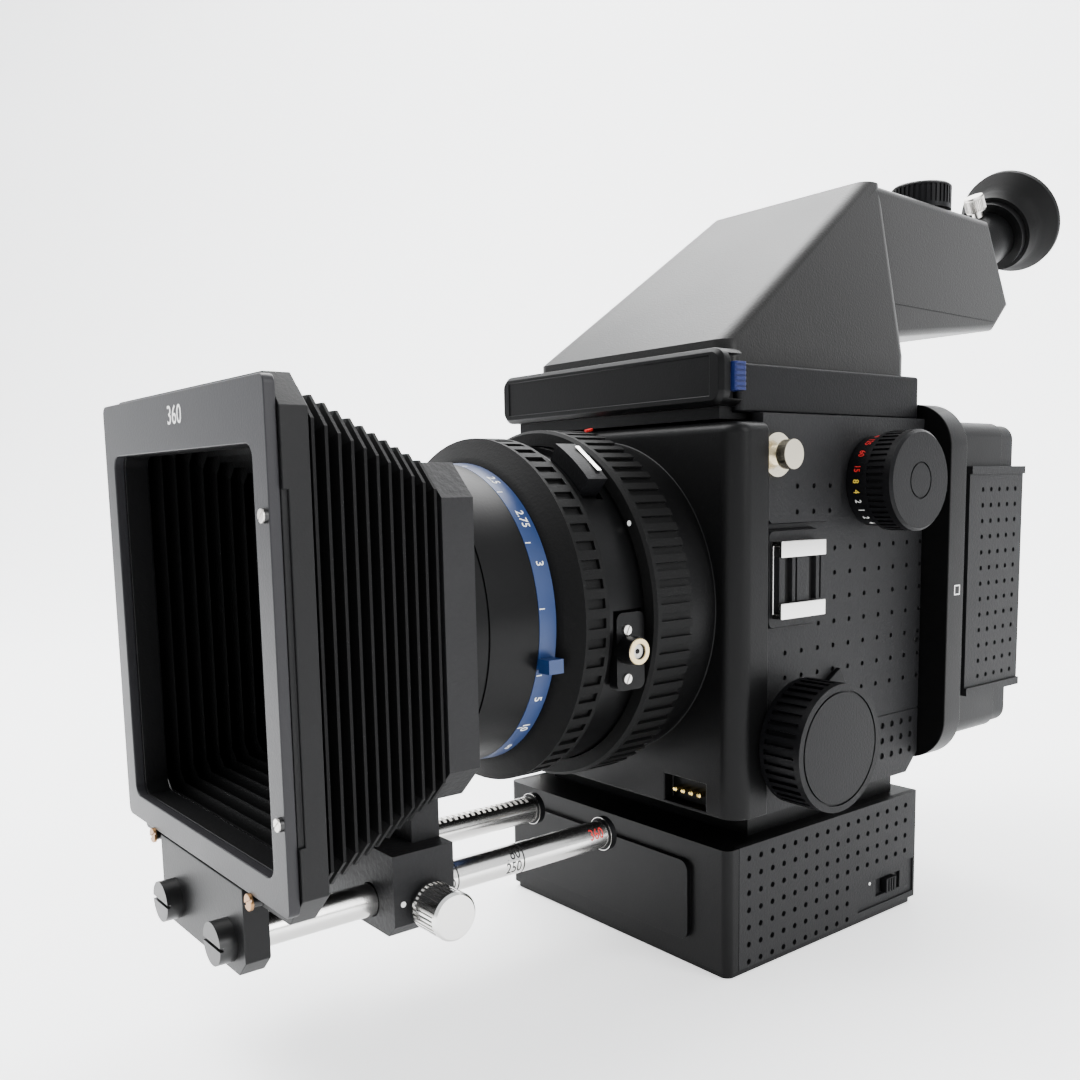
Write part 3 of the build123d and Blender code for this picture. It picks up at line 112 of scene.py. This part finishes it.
plastic = shade("moulded_black", (0.002, 0.002, 0.0024), 0.46, grain=0.35, grain_scale=1500, vary=0.15,
                rough_vary=0.05, spec=0.32)
panel = shade("panel_black", (0.0055, 0.0055, 0.006), 0.55, grain=0.5, grain_scale=1300, vary=0.15)
shell = shade("painted_black", (0.0017, 0.0017, 0.0018), 0.38, grain=0.2, grain_scale=1700, vary=0.12,
              rough_vary=0.05, spec=0.32)
roof = shade("prism_black", (0.0074, 0.0071, 0.0068), 0.38, grain=0.35, grain_scale=1600, vary=0.10,
             rough_vary=0.05)
barrel = shade("barrel_black", (0.0018, 0.0018, 0.0019), 0.33, grain=0.08, grain_scale=1200, vary=0.10,
               rough_vary=0.04, spec=0.32)
rubber = shade("rubber_black", (0.0014, 0.0014, 0.0014), 0.6, grain=0.3, grain_scale=1400, vary=0.15,
               spec=0.32)
hood_plate = shade("hood_plate", (0.0161, 0.0158, 0.0174), 0.36, grain=0.15, grain_scale=1600, vary=0.12,
                   rough_vary=0.06)
hood_frame = shade("hood_frame", (0.0022, 0.0022, 0.0024), 0.42, grain=0.2, grain_scale=1500, vary=0.12)
crackle = shade("crackle_black", (0.008, 0.008, 0.0085), 0.55, grain=0.8, grain_scale=700, vary=0.2)
cloth = shade("bellows_cloth", (0.0014, 0.0014, 0.0015), 0.55, grain=0.35, grain_scale=1800, vary=0.2,
              spec=0.32)
steel = shade("steel", (0.72, 0.71, 0.69), 0.20, metal=1.0, grain=0.05, grain_scale=800, rough_vary=0.06)
satin_steel = shade("satin_steel", (0.60, 0.58, 0.55), 0.32, metal=1.0, grain=0.1, grain_scale=1500,
                    rough_vary=0.08)
nickel = shade("nickel_warm", (0.72, 0.66, 0.52), 0.25, metal=1.0, grain=0.1, rough_vary=0.08)
dark_steel = shade("dark_steel", (0.04, 0.04, 0.04), 0.35, metal=1.0, grain=0.1, rough_vary=0.08)
brass = shade("brass_worn", (0.62, 0.50, 0.28), 0.30, metal=1.0, grain=0.1, vary=0.1, rough_vary=0.08)
gold = shade("gold_contact", (0.85, 0.62, 0.20), 0.22, metal=1.0, rough_vary=0.04)
bronze = shade("bronze_screw", (0.30, 0.17, 0.08), 0.35, metal=1.0, grain=0.1, rough_vary=0.08)
blue = shade("blue_ring", (0.005, 0.022, 0.085), 0.36, metal=0.1, grain=0.05, vary=0.12, rough_vary=0.05)
blue_tab = shade("blue_plastic", (0.008, 0.014, 0.07), 0.4, grain=0.1, vary=0.1)
white = shade("white_paint", (0.72, 0.72, 0.70), 0.5, grain=0.05, vary=0.05)
yellow = shade("yellow_paint", (0.70, 0.50, 0.05), 0.5, vary=0.05)
red = shade("red_paint", (0.55, 0.02, 0.02), 0.5, vary=0.05)
ink = shade("ink_black", (0.01, 0.01, 0.01), 0.6, vary=0.05)
# painted shade: this dark paint goes on the floors of the dimples and vents, where shade falls in the
# recesses; it is also the dark base of the accessory shoe
dimple_shade_and_shoe_black = shade("painted_dimple_shade_and_shoe_black", (0.004, 0.004, 0.004), 0.7, vary=0.05)
white_rubber = shade("insulator_white", (0.55, 0.54, 0.50), 0.5, vary=0.05)
glass = shade("coated_glass", (0.55, 0.60, 0.75), 0.03, transmission=0.75, ior=1.6, coat=0.6, vary=0.06)
eye_glass = shade("eye_lens", (0.02, 0.02, 0.03), 0.05, coat=0.6, vary=0.1)
mirror = shade("mirror_silver", (0.9, 0.9, 0.9), 0.03, metal=1.0, rough_vary=0.01)
cell = shade("cell_wrap", (0.10, 0.10, 0.12), 0.3, metal=0.4, vary=0.1)
inside = shade("inside_black", (0.008, 0.008, 0.008), 0.7, grain=0.2, vary=0.1)
floor_white = shade("studio_floor", (0.90, 0.905, 0.91), 0.7, vary=0.01)

LOOK = {
    "winder_shell": shell, "winder_base": plastic, "winder_covers": panel, "battery_door": panel,
    "tripod_socket": steel, "battery_cells": cell, "winder_motor": satin_steel, "drive_coupler": satin_steel,
    "power_switch": plastic, "body_shell": shell, "side_panel_left": panel, "side_panel_right": panel,
    "name_plate": shell, "accessory_shoe": steel, "strap_studs": nickel, "focusing_screen": glass,
    "reflex_mirror": mirror, "finder_slider": blue_tab, "focus_shaft": satin_steel, "focus_knobs": plastic,
    "focus_lock_lever": plastic, "focus_racks": satin_steel, "front_standard": shell, "shutter_dial": plastic,
    "cocking_lever": plastic, "release_button": satin_steel, "release_collar": plastic,
    "lens_rear_barrel": barrel, "bayonet_ring": rubber, "lens_front_barrel": barrel, "aperture_ring": rubber,
    "distance_ring": blue, "lens_glass": glass, "shutter_unit": inside, "sync_socket": barrel,
    "lens_lever": plastic, "hood_rear_frame": crackle, "clamp_knob": steel, "hood_front_frame": hood_frame,
    "hood_filter_plate": hood_plate, "hood_rails": steel, "hood_screws": dark_steel,
    "revolving_adapter": shell, "film_back_shell": shell, "dark_slide": dark_steel, "takeup_spool": inside,
    "supply_spool": inside, "advance_lever": plastic, "rear_door": panel, "pressure_plate": inside,
    "prism_base": plastic, "prism_housing": roof, "prism_glass": glass, "eyepiece_tube": shell,
    "eyecup": rubber, "finder_dial": plastic, "eyepiece_lock_knob": satin_steel, "focusing_bellows": cloth,
    "hood_bellows": cloth,
}
EDGE_WIDTHS = {
    "front_standard": 0.9, "winder_shell": 0.8, "name_plate": 0.6, "prism_base": 0.8, "prism_housing": 0.5,
    "revolving_adapter": 0.7, "film_back_shell": 0.8, "hood_filter_plate": 0.3, "hood_front_frame": 0.4,
    "hood_rear_frame": 0.5, "accessory_shoe": 0.25, "cocking_lever": 0.5, "advance_lever": 0.5,
    "power_switch": 0.2, "finder_slider": 0.2, "focus_lock_lever": 0.3,
}


def bevel_edges(obj, width, segments):
    """Adds a bevel on the sharp edges of an object."""
    bevel = obj.modifiers.new("edges", "BEVEL")
    bevel.width = width * MM
    bevel.segments = segments
    bevel.limit_method = "ANGLE"
    return bevel


def round_edges(obj, width):
    """Bevels the sharp edges of a carried-over CAD node."""
    flat = obj.modifiers.new("flat", "DECIMATE")
    flat.decimate_type = "DISSOLVE"
    flat.angle_limit = math.radians(0.6)
    bevel_edges(obj, width, 2).angle_limit = math.radians(35)
    even = obj.modifiers.new("even", "WEIGHTED_NORMAL")
    even.weight = 60
    even.keep_sharp = True


for name, obj in NODES.items():
    obj.data.materials.clear()
    obj.data.materials.append(LOOK[name])
    weld = obj.modifiers.new("weld", "WELD")
    weld.merge_threshold = 0.00001
    for poly in obj.data.polygons:
        poly.use_smooth = True
    if name in EDGE_WIDTHS:
        round_edges(obj, EDGE_WIDTHS[name])
    else:
        creases = obj.modifiers.new("creases", "EDGE_SPLIT")
        creases.split_angle = math.radians(32)


# ------------------------------------------------------------------ helpers for points and placing
def direction(degrees):
    """The unit vector at an angle round the lens axis, from +X towards +Z."""
    angle = math.radians(degrees)
    return Vector((math.cos(angle), 0, math.sin(angle)))


def on_lens(radius, degrees, y):
    """A point at a radius and an angle round the lens axis."""
    way = direction(degrees)
    return (radius * way.x, y, AXIS_Z + radius * way.z)


def frame_at(origin, normal, up):
    """A placing matrix whose +Z is the normal and +Y is the up direction; the origin is in millimetres."""
    z = Vector(normal).normalized()
    y = Vector(up)
    y = (y - z * y.dot(z)).normalized()
    placing = Matrix((y.cross(z), y, z)).transposed().to_4x4()
    placing.translation = Vector(origin) * MM
    return placing


def wound(faces, straight):
    """The faces as they are, or with the winding of each turned round."""
    return faces if straight else [face[::-1] for face in faces]


# ------------------------------------------------------------------ helpers that make one piece each
def put(name, verts, faces, body, material, smooth=None):
    """A mesh from points in millimetres, on a body if one is named; smooth is the crease angle."""
    mesh = bpy.data.meshes.new(name)
    mesh.from_pydata([tuple(c * MM for c in v) for v in verts], [], faces)
    mesh.validate()
    mesh.update()
    mesh.materials.append(material)
    obj = bpy.data.objects.new(name, mesh)
    bpy.context.scene.collection.objects.link(obj)
    if smooth is not None:
        for poly in mesh.polygons:
            poly.use_smooth = True
        mesh.set_sharp_from_angle(angle=math.radians(smooth))
    if body:
        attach(obj, body)
    return obj


def turn(name, profile, origin, axis, body, material, count=96, ribs=None):
    """Revolves a closed loop of (distance along the axis, radius); ribs(step, radius) may change a radius."""
    z = Vector(axis).normalized()
    x = Vector(UP) if abs(z.z) < 0.9 else Vector(OUT)
    x = (x - z * x.dot(z)).normalized()
    y = z.cross(x)
    verts, faces = [], []
    n = len(profile)
    for i in range(count):
        angle = 2 * math.pi * i / count
        spoke = x * math.cos(angle) + y * math.sin(angle)
        for along, radius in profile:
            reach = ribs(i, radius) if ribs else radius
            verts.append(tuple(Vector(origin) + z * along + spoke * reach))
    for i in range(count):
        j = (i + 1) % count
        for k in range(n):
            m = (k + 1) % n
            faces.append((i * n + k, j * n + k, j * n + m, i * n + m))
    put(name, verts, faces, body, material, smooth=34)


def cuboid(name, lo, hi, body, material, bevel=0.0, matrix=None):
    """A box between two corners, moved by a matrix if one is given."""
    (x0, y0, z0), (x1, y1, z1) = lo, hi
    verts = [(x, y, z) for x in (x0, x1) for y in (y0, y1) for z in (z0, z1)]
    faces = [(0, 1, 3, 2), (4, 6, 7, 5), (0, 4, 5, 1), (2, 3, 7, 6), (0, 2, 6, 4), (1, 5, 7, 3)]
    obj = put(name, verts, faces, None, material)
    if bevel:
        bevel_edges(obj, bevel, 3)
    if matrix is not None:
        obj.data.transform(matrix)
    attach(obj, body)


def numeral(name, text, size, origin, normal, up, body, material, wrap=None, squeeze=1.0):
    """Raised paint numerals; wrap is ("x" or "y", radius) to bend the string round a cylinder."""
    curve = bpy.data.curves.new(name, "FONT")
    curve.body = text
    curve.size = size * MM
    curve.align_x = "CENTER"
    curve.align_y = "CENTER"
    curve.extrude = 0.03 * MM
    curve.resolution_u = 3
    letters = bpy.data.objects.new(name + "_t", curve)
    bpy.context.scene.collection.objects.link(letters)
    bpy.context.view_layer.update()
    mesh = bpy.data.meshes.new_from_object(letters)
    bpy.data.objects.remove(letters)
    mesh.name = name
    for v in mesh.vertices:
        v.co.x *= squeeze
        if wrap:
            radius = wrap[1] * MM
            across = v.co.x if wrap[0] == "x" else v.co.y
            high = radius + v.co.z
            bent = high * math.sin(across / radius)
            if wrap[0] == "x":
                v.co.x = bent
            else:
                v.co.y = bent
            v.co.z = high * math.cos(across / radius) - radius
    mesh.transform(frame_at(origin, normal, up))
    mesh.materials.clear()
    mesh.materials.append(material)
    obj = bpy.data.objects.new(name, mesh)
    bpy.context.scene.collection.objects.link(obj)
    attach(obj, body)


def ring_points(half_w, half_h, corner, y, centre_z):
    """A chamfered rectangle of points round the lens axis, with extra points along its sides."""
    right = [(half_w - corner, -half_h), (half_w, -half_h + corner), (half_w, half_h - corner),
             (half_w - corner, half_h)]
    corners = right + [(-x, z) for x, z in right[::-1]]
    per_side = 6
    points = []
    for i, (x0, z0) in enumerate(corners):
        x1, z1 = corners[(i + 1) % len(corners)]
        for k in range(per_side):
            t = k / per_side
            points.append((x0 + (x1 - x0) * t, y, centre_z + z0 + (z1 - z0) * t))
    return points


def pleats(name, stations, thick):
    """A folded sleeve with two skins, from rows of (y, half width, half height, corner, centre height)."""
    outer = [ring_points(w, h, c, y, zc) for y, w, h, c, zc in stations]
    inner = [ring_points(w - thick, h - thick, c, y, zc) for y, w, h, c, zc in stations]
    verts = [point for ring in outer + inner for point in ring]
    n = len(outer[0])
    rows = len(stations)
    base = rows * n
    faces = []
    for r in range(rows - 1):
        for i in range(n):
            j = (i + 1) % n
            faces.append((r * n + i, r * n + j, (r + 1) * n + j, (r + 1) * n + i))
            faces.append((base + r * n + j, base + r * n + i, base + (r + 1) * n + i, base + (r + 1) * n + j))
    for r in (0, rows - 1):
        for i in range(n):
            j = (i + 1) % n
            quad = (r * n + i, base + r * n + i, base + r * n + j, r * n + j)
            faces.append(quad if r == 0 else quad[::-1])
    obj = put(name, verts, faces, None, cloth)
    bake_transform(obj)
    return obj


def discs(name, points, normal, radius, body, material, lift=0.05):
    """Flat round spots, one small closed disc each, at points on a face with that normal."""
    n = Vector(normal).normalized()
    x = Vector(UP) if abs(n.z) < 0.9 else Vector(OUT)
    y = n.cross(x)
    sides = 16
    verts, faces = [], []
    for point in points:
        base = len(verts)
        for h in (-lift, lift):
            for k in range(sides):
                angle = 2 * math.pi * k / sides
                spoke = x * math.cos(angle) + y * math.sin(angle)
                verts.append(tuple(Vector(point) + n * h + spoke * radius))
        faces.append([base + sides + k for k in range(sides)])
        faces.append([base + sides - 1 - k for k in range(sides)])
        for k in range(sides):
            m = (k + 1) % sides
            faces.append((base + k, base + m, base + sides + m, base + sides + k))
    put(name, verts, faces, body, material)


def slotted(name, origin, normal, up, radius, height, body, material):
    """A round screw head of two half discs with a real slot between them."""
    z = Vector(normal).normalized()
    u = Vector(up)
    u = (u - z * u.dot(z)).normalized()
    v = z.cross(u)
    half_slot, steps = radius * 0.16, 28
    first = math.asin(half_slot / radius)
    arc = [first + (math.pi - 2 * first) * k / steps for k in range(steps + 1)]
    m = steps + 1

    def at(along, across, rise):
        return tuple(Vector(origin) + u * along + v * across + z * rise)

    verts, faces = [], []
    for sign in (1, -1):
        rim = [(radius * math.cos(a), sign * radius * math.sin(a)) for a in arc]
        base = len(verts)
        for rise in (0.0, height * 0.86):
            verts += [at(x, y, rise) for x, y in rim]
        verts += [at(x * 0.93, y * 0.93 + sign * half_slot * 0.07, height) for x, y in rim]
        half = []
        for row in (base, base + m):
            half += [(row + k, row + k + 1, row + m + k + 1, row + m + k) for k in range(steps)]
        half.append(tuple(base + 2 * m + k for k in range(m)))
        half.append((base, base + m, base + 2 * m, base + 3 * m - 1, base + 2 * m - 1, base + m - 1))
        faces += wound(half, sign > 0)
    floor = len(verts)
    reach = radius * math.cos(first)
    for rise in (0.0, height * 0.5):
        for x, y in ((-reach, -half_slot), (reach, -half_slot), (reach, half_slot), (-reach, half_slot)):
            verts.append(at(x, y, rise))
    faces.append((floor + 4, floor + 5, floor + 6, floor + 7))
    for k in range(4):
        faces.append((floor + k, floor + (k + 1) % 4, floor + 4 + (k + 1) % 4, floor + 4 + k))
    put(name, verts, faces, body, material, smooth=30)


# ------------------------------------------------------------------ bellows
HOOD_REAR_Y, HOOD_FRONT_Y, HOOD_FOLDS = -118, -154.5, 11
VALLEY_IN, RIDGE_IN, RIDGE_HALF = 6.2, 0.25, 0.35     # insets of the folds, and half a ridge's width
hood_rows = []
for i in range(2 * HOOD_FOLDS + 1):
    t = i / (2 * HOOD_FOLDS)
    y = HOOD_REAR_Y + (HOOD_FRONT_Y - HOOD_REAR_Y) * t
    half_w, half_h, centre_z = 40.0 + 9.4 * t, 39.5 + 13.8 * t, AXIS_Z + 1.9 * t
    if i % 2 == 0:
        hood_rows.append((y, half_w - VALLEY_IN, half_h - VALLEY_IN, 3.0, centre_z))
    else:
        for ridge_y in (y + RIDGE_HALF, y - RIDGE_HALF):
            hood_rows.append((ridge_y, half_w - RIDGE_IN, half_h - RIDGE_IN, 6.5, centre_z))
hood = pleats("hood_bellows_pleats", hood_rows,
              thick=0.5)
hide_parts("hood_bellows")

FOCUS_REAR_Y, FOCUS_FRONT_Y, FOCUS_ROWS = -21, -30.5, 12
focus_rows = []
for i in range(FOCUS_ROWS + 1):
    y = FOCUS_REAR_Y + (FOCUS_FRONT_Y - FOCUS_REAR_Y) * i / FOCUS_ROWS
    half = 29.0 if i % 2 else 34.0
    focus_rows.append((y, half, half, 3.0, AXIS_Z))
focus = pleats("focusing_bellows_pleats", focus_rows,
               thick=0.3)
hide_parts("focusing_bellows")


# ------------------------------------------------------------------ painted shade: dark floors in the dimples of the +X side
def dimples(name, blocks, pitch_y, pitch_z, depth, radius, body):
    """Painted shade on the floors of blocks of dimples, given as (face x, first y, top z, columns, rows)."""
    points = [(x - depth, y + pitch_y * i, z - pitch_z * k)
              for x, y, z, columns, rows in blocks for i in range(columns) for k in range(rows)]
    discs(name, points, OUT, radius, body, dimple_shade_and_shoe_black)


dimples("body_dimple_floor_shade", [(PANEL_X, 6, 118.6, 8, 4), (PANEL_X, -9, 89.8, 10, 2),
                               (PANEL_X, 20.1, 75.4, 6, 1), (POD_X, -6, 136.9, 3, 2)],
        7.35, 7.2, 0.82, 0.72, "camera_body")
dimples("body_vent_floor_shade", [(PANEL_X, 29, 61.2, 6, 3)], 5.0, 4.9, 0.82, 1.0, "camera_body")
dimples("winder_dimple_floor_shade", [(WINDER_X, -26.1, 33.8, 16, 4), (WINDER_X, -26.1, 13.6, 10, 3)], 5.05, 5.05,
        1.12, 0.8, "camera_body")
dimples("film_back_dimple_floor_shade", [(FLAP_X, 82, 134.5, 5, 13)], 5.1, 5.15, 0.82, 0.75, "rear_door")

# ------------------------------------------------------------------ painted marks
discs("mount_index", [(-4.6, -36.2, 154.5)], (0, -0.3, 1), 1.3, "front_standard", red, lift=0.3)
discs("bayonet_mark", [on_lens(46.3, 31, -61.05)], FRONT, 0.7, "bayonet_ring", white)
discs("clamp_index", [(28.05, -124.5, 39.8)], OUT, 0.7, "front_standard", white)
discs("switch_marks", [(WINDER_X - 0.45, 31.5, 11.8)], OUT, 0.5, "camera_body", white)

# white square outline on the revolving adapter's edge, as a thin closed ring
outline = [(62.6, 101.4), (65.8, 101.4), (65.8, 104.6), (62.6, 104.6)]
hollow = [(63.0, 101.8), (65.4, 101.8), (65.4, 104.2), (63.0, 104.2)]
face_x, back_x = 57.32, 57.2
square = [(x, y, z) for x in (face_x, back_x) for y, z in outline + hollow]
square_faces = [(a + k, a + (k + 1) % 4, b + (k + 1) % 4, b + k)
                for a, b in ((0, 4), (12, 8), (8, 0), (4, 12)) for k in range(4)]
put("adapter_mark", square, square_faces, "film_back", white)

# ------------------------------------------------------------------ small fittings
# gold contacts in the front standard's socket
for k in range(4):
    turn("contact_pin_%d" % k, [(0, 0.01), (0, 0.8), (2.6, 0.8), (3.0, 0.4), (3.0, 0.01)],
         (29.5 + 3.1 * k, -32.1, 51.2), FRONT, "front_standard", gold, count=16)

# screws by the cable socket and on the side panel
for k, z in enumerate((89.6, 102.0)):
    slotted("socket_screw_%d" % k, (46.0, -68, z), OUT, (0, 0.5, 1), 1.3, 0.5, "front_standard", satin_steel)
slotted("body_screw_rear", (PANEL_X, 56.2, 87), OUT, (0, 1, 0.3), 1.1, 0.25, "camera_body", dark_steel)

# dark base and ribs between the lips of the accessory shoe
cuboid("shoe_base", (51.52, -18.1, 102.2), (51.7, 0.4, 120.5), "camera_body", dimple_shade_and_shoe_black)
for k, (y0, y1) in enumerate(((-18.1, -15.8), (-12.6, -11.3), (-10.5, -5.3), (-2.2, -0.8), (0.0, 0.4))):
    cuboid("shoe_rib_%d" % k, (51.6, y0, 105.3), (53.3, y1, 117.4), "camera_body", panel)

# black caps over the rear ends of the hood rails, screws in the hood's lower edge and side
for k, side in enumerate((-1, 1)):
    turn("rail_cap_%d" % k, [(0, 0.01), (0, 4.6), (0.3, 4.9), (2.0, 4.9), (2.3, 4.6), (2.3, 0.01)],
         (RAIL_X * side, -52.1, RAIL_Z), REAR, "hood_front", plastic, count=64)
    slotted("hood_edge_screw_%d" % k, (30.0 * side, -163.0, 51.2), FRONT, (1, 0, 0.5), 1.9, 0.7, "hood_front",
            bronze)
for k, z in enumerate((72.5, 133.5)):
    slotted("hood_side_screw_%d" % k, (47.8, -163.75, z), FRONT, (1, 0, 0.8), 1.4, 0.4, "hood_front",
            satin_steel)

# cable socket on the lens: brass rim and white insulator
turn("socket_rim", [(0, 1.95), (0, 3.35), (0.25, 3.2), (0.25, 2.05)], SOCKET, OUT, "front_standard", brass,
     count=48)
turn("socket_core", [(-3.4, 0.7), (-3.4, 1.86), (-0.7, 1.86), (-0.7, 0.7)], SOCKET, OUT, "front_standard",
     white_rubber, count=40)

# bright plate on the lens lever
LEVER_ANGLE = 54
lever_at = frame_at(on_lens(50.05, LEVER_ANGLE, -67.75), direction(LEVER_ANGLE), FRONT)
cuboid("lens_lever_plate", (-5.5, -2.6, 0), (5.5, -1.2, 0.3), "lens_lever", steel, bevel=0.1, matrix=lever_at)

# eyepiece: knurl on the lock knob, and the eye lens in the tube
EYE_TILT = math.radians(28.6)
eye_way = Vector((0, math.cos(EYE_TILT), math.sin(EYE_TILT)))
eye_up = Vector((0, -eye_way.z, eye_way.y))
eye_at = Vector((0, 134.5, 212.3))


def knurl(step, radius):
    """Cuts a fine groove at every other pair of steps of the knob's rim."""
    return radius - (0.22 if step % 4 < 2 and radius > 3.6 else 0.0)


turn("lock_knob_knurl", [(3.1, 3.55), (3.3, 3.9), (7.7, 3.9), (7.9, 3.55)],
     eye_at + eye_way * 44 + eye_up * 10.1, eye_up, "eyepiece_lock_knob", satin_steel, count=144, ribs=knurl)
turn("eye_lens", [(0, 0.01), (0, 7.4), (0.4, 7.4), (1.4, 4.0), (1.7, 0.01)],
     eye_at + eye_way * 48.02, eye_way, "camera_body", eye_glass, count=64)

# moulding seam along both sides of the finder's tail
SEAM_STEPS = 8
for side, side_name in ((-1, "right"), (1, "left")):
    seam = []
    for k in range(SEAM_STEPS + 1):
        y = 60.5 + 8.9 * k
        wall_x = 34.0 - 6.0 * (y - 40) / 105
        seam += [(side * (wall_x + lift), y, z)
                 for lift, z in ((-0.2, 194.7), (0.12, 194.85), (0.12, 195.15), (-0.2, 195.3))]
    last = 4 * SEAM_STEPS
    faces = [(0, 1, 2, 3), (last + 3, last + 2, last + 1, last)]
    for k in range(0, last, 4):
        for j in range(4):
            m = (j + 1) % 4
            faces.append((k + j, k + m, k + 4 + m, k + 4 + j))
    put("tail_seam_" + side_name, seam, wound(faces, side < 0), "camera_body", shell)

# ------------------------------------------------------------------ numerals
numeral("hood_number", "360", 6.0, (2.0, -163.02, 155.2), FRONT, UP, "hood_front", white)

# distance scale and its ticks on the blue ring
RING_R = 40.04
NUMBER_R = 40.14
DISTANCES = (("2.5", 62), ("2.75", 40), ("3", 22), ("5", -28), ("10", -42), ("\u221e", -56))
for k, (text, degrees) in enumerate(DISTANCES):
    numeral("distance_number_%d" % k, text, 3.2, on_lens(NUMBER_R, degrees, -88.5), direction(degrees), REAR,
            "distance_ring", white, wrap=("x", NUMBER_R))
for k in range(9):
    degrees = 150 - 24 * k
    cuboid("distance_tick_%d" % k, (-0.12, -0.8, 0), (0.12, 0.8, 0.05), "distance_ring", white,
           matrix=frame_at(on_lens(RING_R, degrees, -90.0), direction(degrees), REAR))

# shutter speeds on the rim of the dial
DIAL_X, DIAL_Y, DIAL_Z, DIAL_R = 51.6, 31.3, 137.9, 13.42
SPEEDS = (("400", 78), ("250", 99), ("125", 121), ("60", 143), ("15", 164), ("8", 180), ("4", 193),
          ("2", 206), ("1", 219), ("2", 233), ("4", 247))
for k, (text, degrees) in enumerate(SPEEDS):
    angle = math.radians(degrees)
    way = Vector((0, math.cos(angle), math.sin(angle)))
    paint = red if k < 5 else yellow if k < 7 else white
    numeral("shutter_number_%d" % k, text, 2.9, (DIAL_X, DIAL_Y + DIAL_R * way.y, DIAL_Z + DIAL_R * way.z),
            way, OUT, "shutter_dial", paint, wrap=("x", DIAL_R), squeeze=0.8)

# focal lengths and lines on the +X hood rail
RAIL_INK_R = 4.02
FOCAL_LENGTHS = (("360", -56.6, 26), ("180", -85.9, 40), ("250", -85.9, -14), ("127", -107.0, 40),
                 ("140", -107.0, -14))
for k, (text, y, degrees) in enumerate(FOCAL_LENGTHS):
    way = direction(degrees)
    numeral("rail_number_%d" % k, text, 4.6, (RAIL_X + RAIL_INK_R * way.x, y, RAIL_Z + RAIL_INK_R * way.z),
            way, (-way.z, 0, way.x), "hood_front", ink if k else red, wrap=("y", RAIL_INK_R), squeeze=0.74)
for k, y in enumerate((-82.3, -103.4)):
    turn("rail_line_%d" % k, [(0, 3.9), (0, 4.03), (0.4, 4.03), (0.4, 3.9)], (RAIL_X, y, RAIL_Z), FRONT,
         "hood_front", ink, count=48)

# ------------------------------------------------------------------ floor, light and camera
FLOOR_DROP = 0.2              # keeps the floor just under the part
FLOOR_HALF_W = 3500
BEND_Y, BEND_R, BEND_STEPS = 500, 700, 24
glow = floor_white.node_tree.nodes["Principled BSDF"]
glow.inputs["Emission Color"].default_value = (1.0, 1.0, 1.0, 1)
glow.inputs["Emission Strength"].default_value = 1.05
sweep = [(-2400, 0.0), (BEND_Y, 0.0)]
for k in range(1, BEND_STEPS + 1):
    angle = math.pi / 2 * k / BEND_STEPS
    sweep.append((BEND_Y + BEND_R * math.sin(angle), BEND_R - BEND_R * math.cos(angle)))
sweep.append((BEND_Y + BEND_R, 2400))
turned = Matrix.Rotation(math.radians(40), 4, "Z")
verts = [tuple(turned @ Vector((x, y, z - FLOOR_DROP)))
         for y, z in sweep for x in (-FLOOR_HALF_W, FLOOR_HALF_W)]
faces = [(2 * k, 2 * k + 1, 2 * k + 3, 2 * k + 2) for k in range(len(sweep) - 1)]
put("floor", verts, faces, None, floor_white, smooth=60)

world = bpy.data.worlds.new("studio")
bpy.context.scene.world = world
world.use_nodes = True
world.node_tree.nodes["Background"].inputs["Color"].default_value = (0.95, 0.97, 1.0, 1)
world.node_tree.nodes["Background"].inputs["Strength"].default_value = 1.3


def lamp(name, place, aim, size, power):
    """A rectangular lamp at a place, aimed at a point, both in metres."""
    data = bpy.data.lights.new(name, "AREA")
    data.shape = "RECTANGLE"
    data.size, data.size_y = size
    data.energy = power
    obj = bpy.data.objects.new(name, data)
    obj.location = Vector(place)
    obj.rotation_euler = (Vector(aim) - Vector(place)).to_track_quat("-Z", "Y").to_euler()
    bpy.context.scene.collection.objects.link(obj)


lamp("key", (-0.45, -0.45, 1.2), (0, 0, 0.12), (0.9, 0.9), 34)
lamp("side", (1.3, 0.25, 0.75), (0, 0, 0.1), (0.5, 1.0), 16)
lamp("back", (-0.6, 1.0, 1.3), (-0.3, 0.8, 0.3), (1.6, 1.2), 60)

# the photograph's camera, as fitted
yaw, pitch, roll = math.radians(51.36), math.radians(-7.12), math.radians(-1.05)
ahead = Vector((-math.sin(yaw) * math.cos(pitch), math.cos(yaw) * math.cos(pitch), math.sin(pitch)))
level_right = ahead.cross(Vector(UP)).normalized()
level_up = level_right.cross(ahead)
right = level_right * math.cos(roll) + level_up * math.sin(roll)
top = -level_right * math.sin(roll) + level_up * math.cos(roll)
placing = Matrix((right, top, -ahead)).transposed().to_4x4()
placing.translation = Vector((0.24434, -0.25025, 0.13815))
lens = bpy.data.cameras.new("camera")
lens.sensor_width = 36
lens.lens = 36.04
lens.shift_x = -0.0119
lens.shift_y = 0.0751
lens.clip_start = 0.01
cam = bpy.data.objects.new("camera", lens)
cam.matrix_world = placing
bpy.context.scene.collection.objects.link(cam)
bpy.context.scene.camera = cam
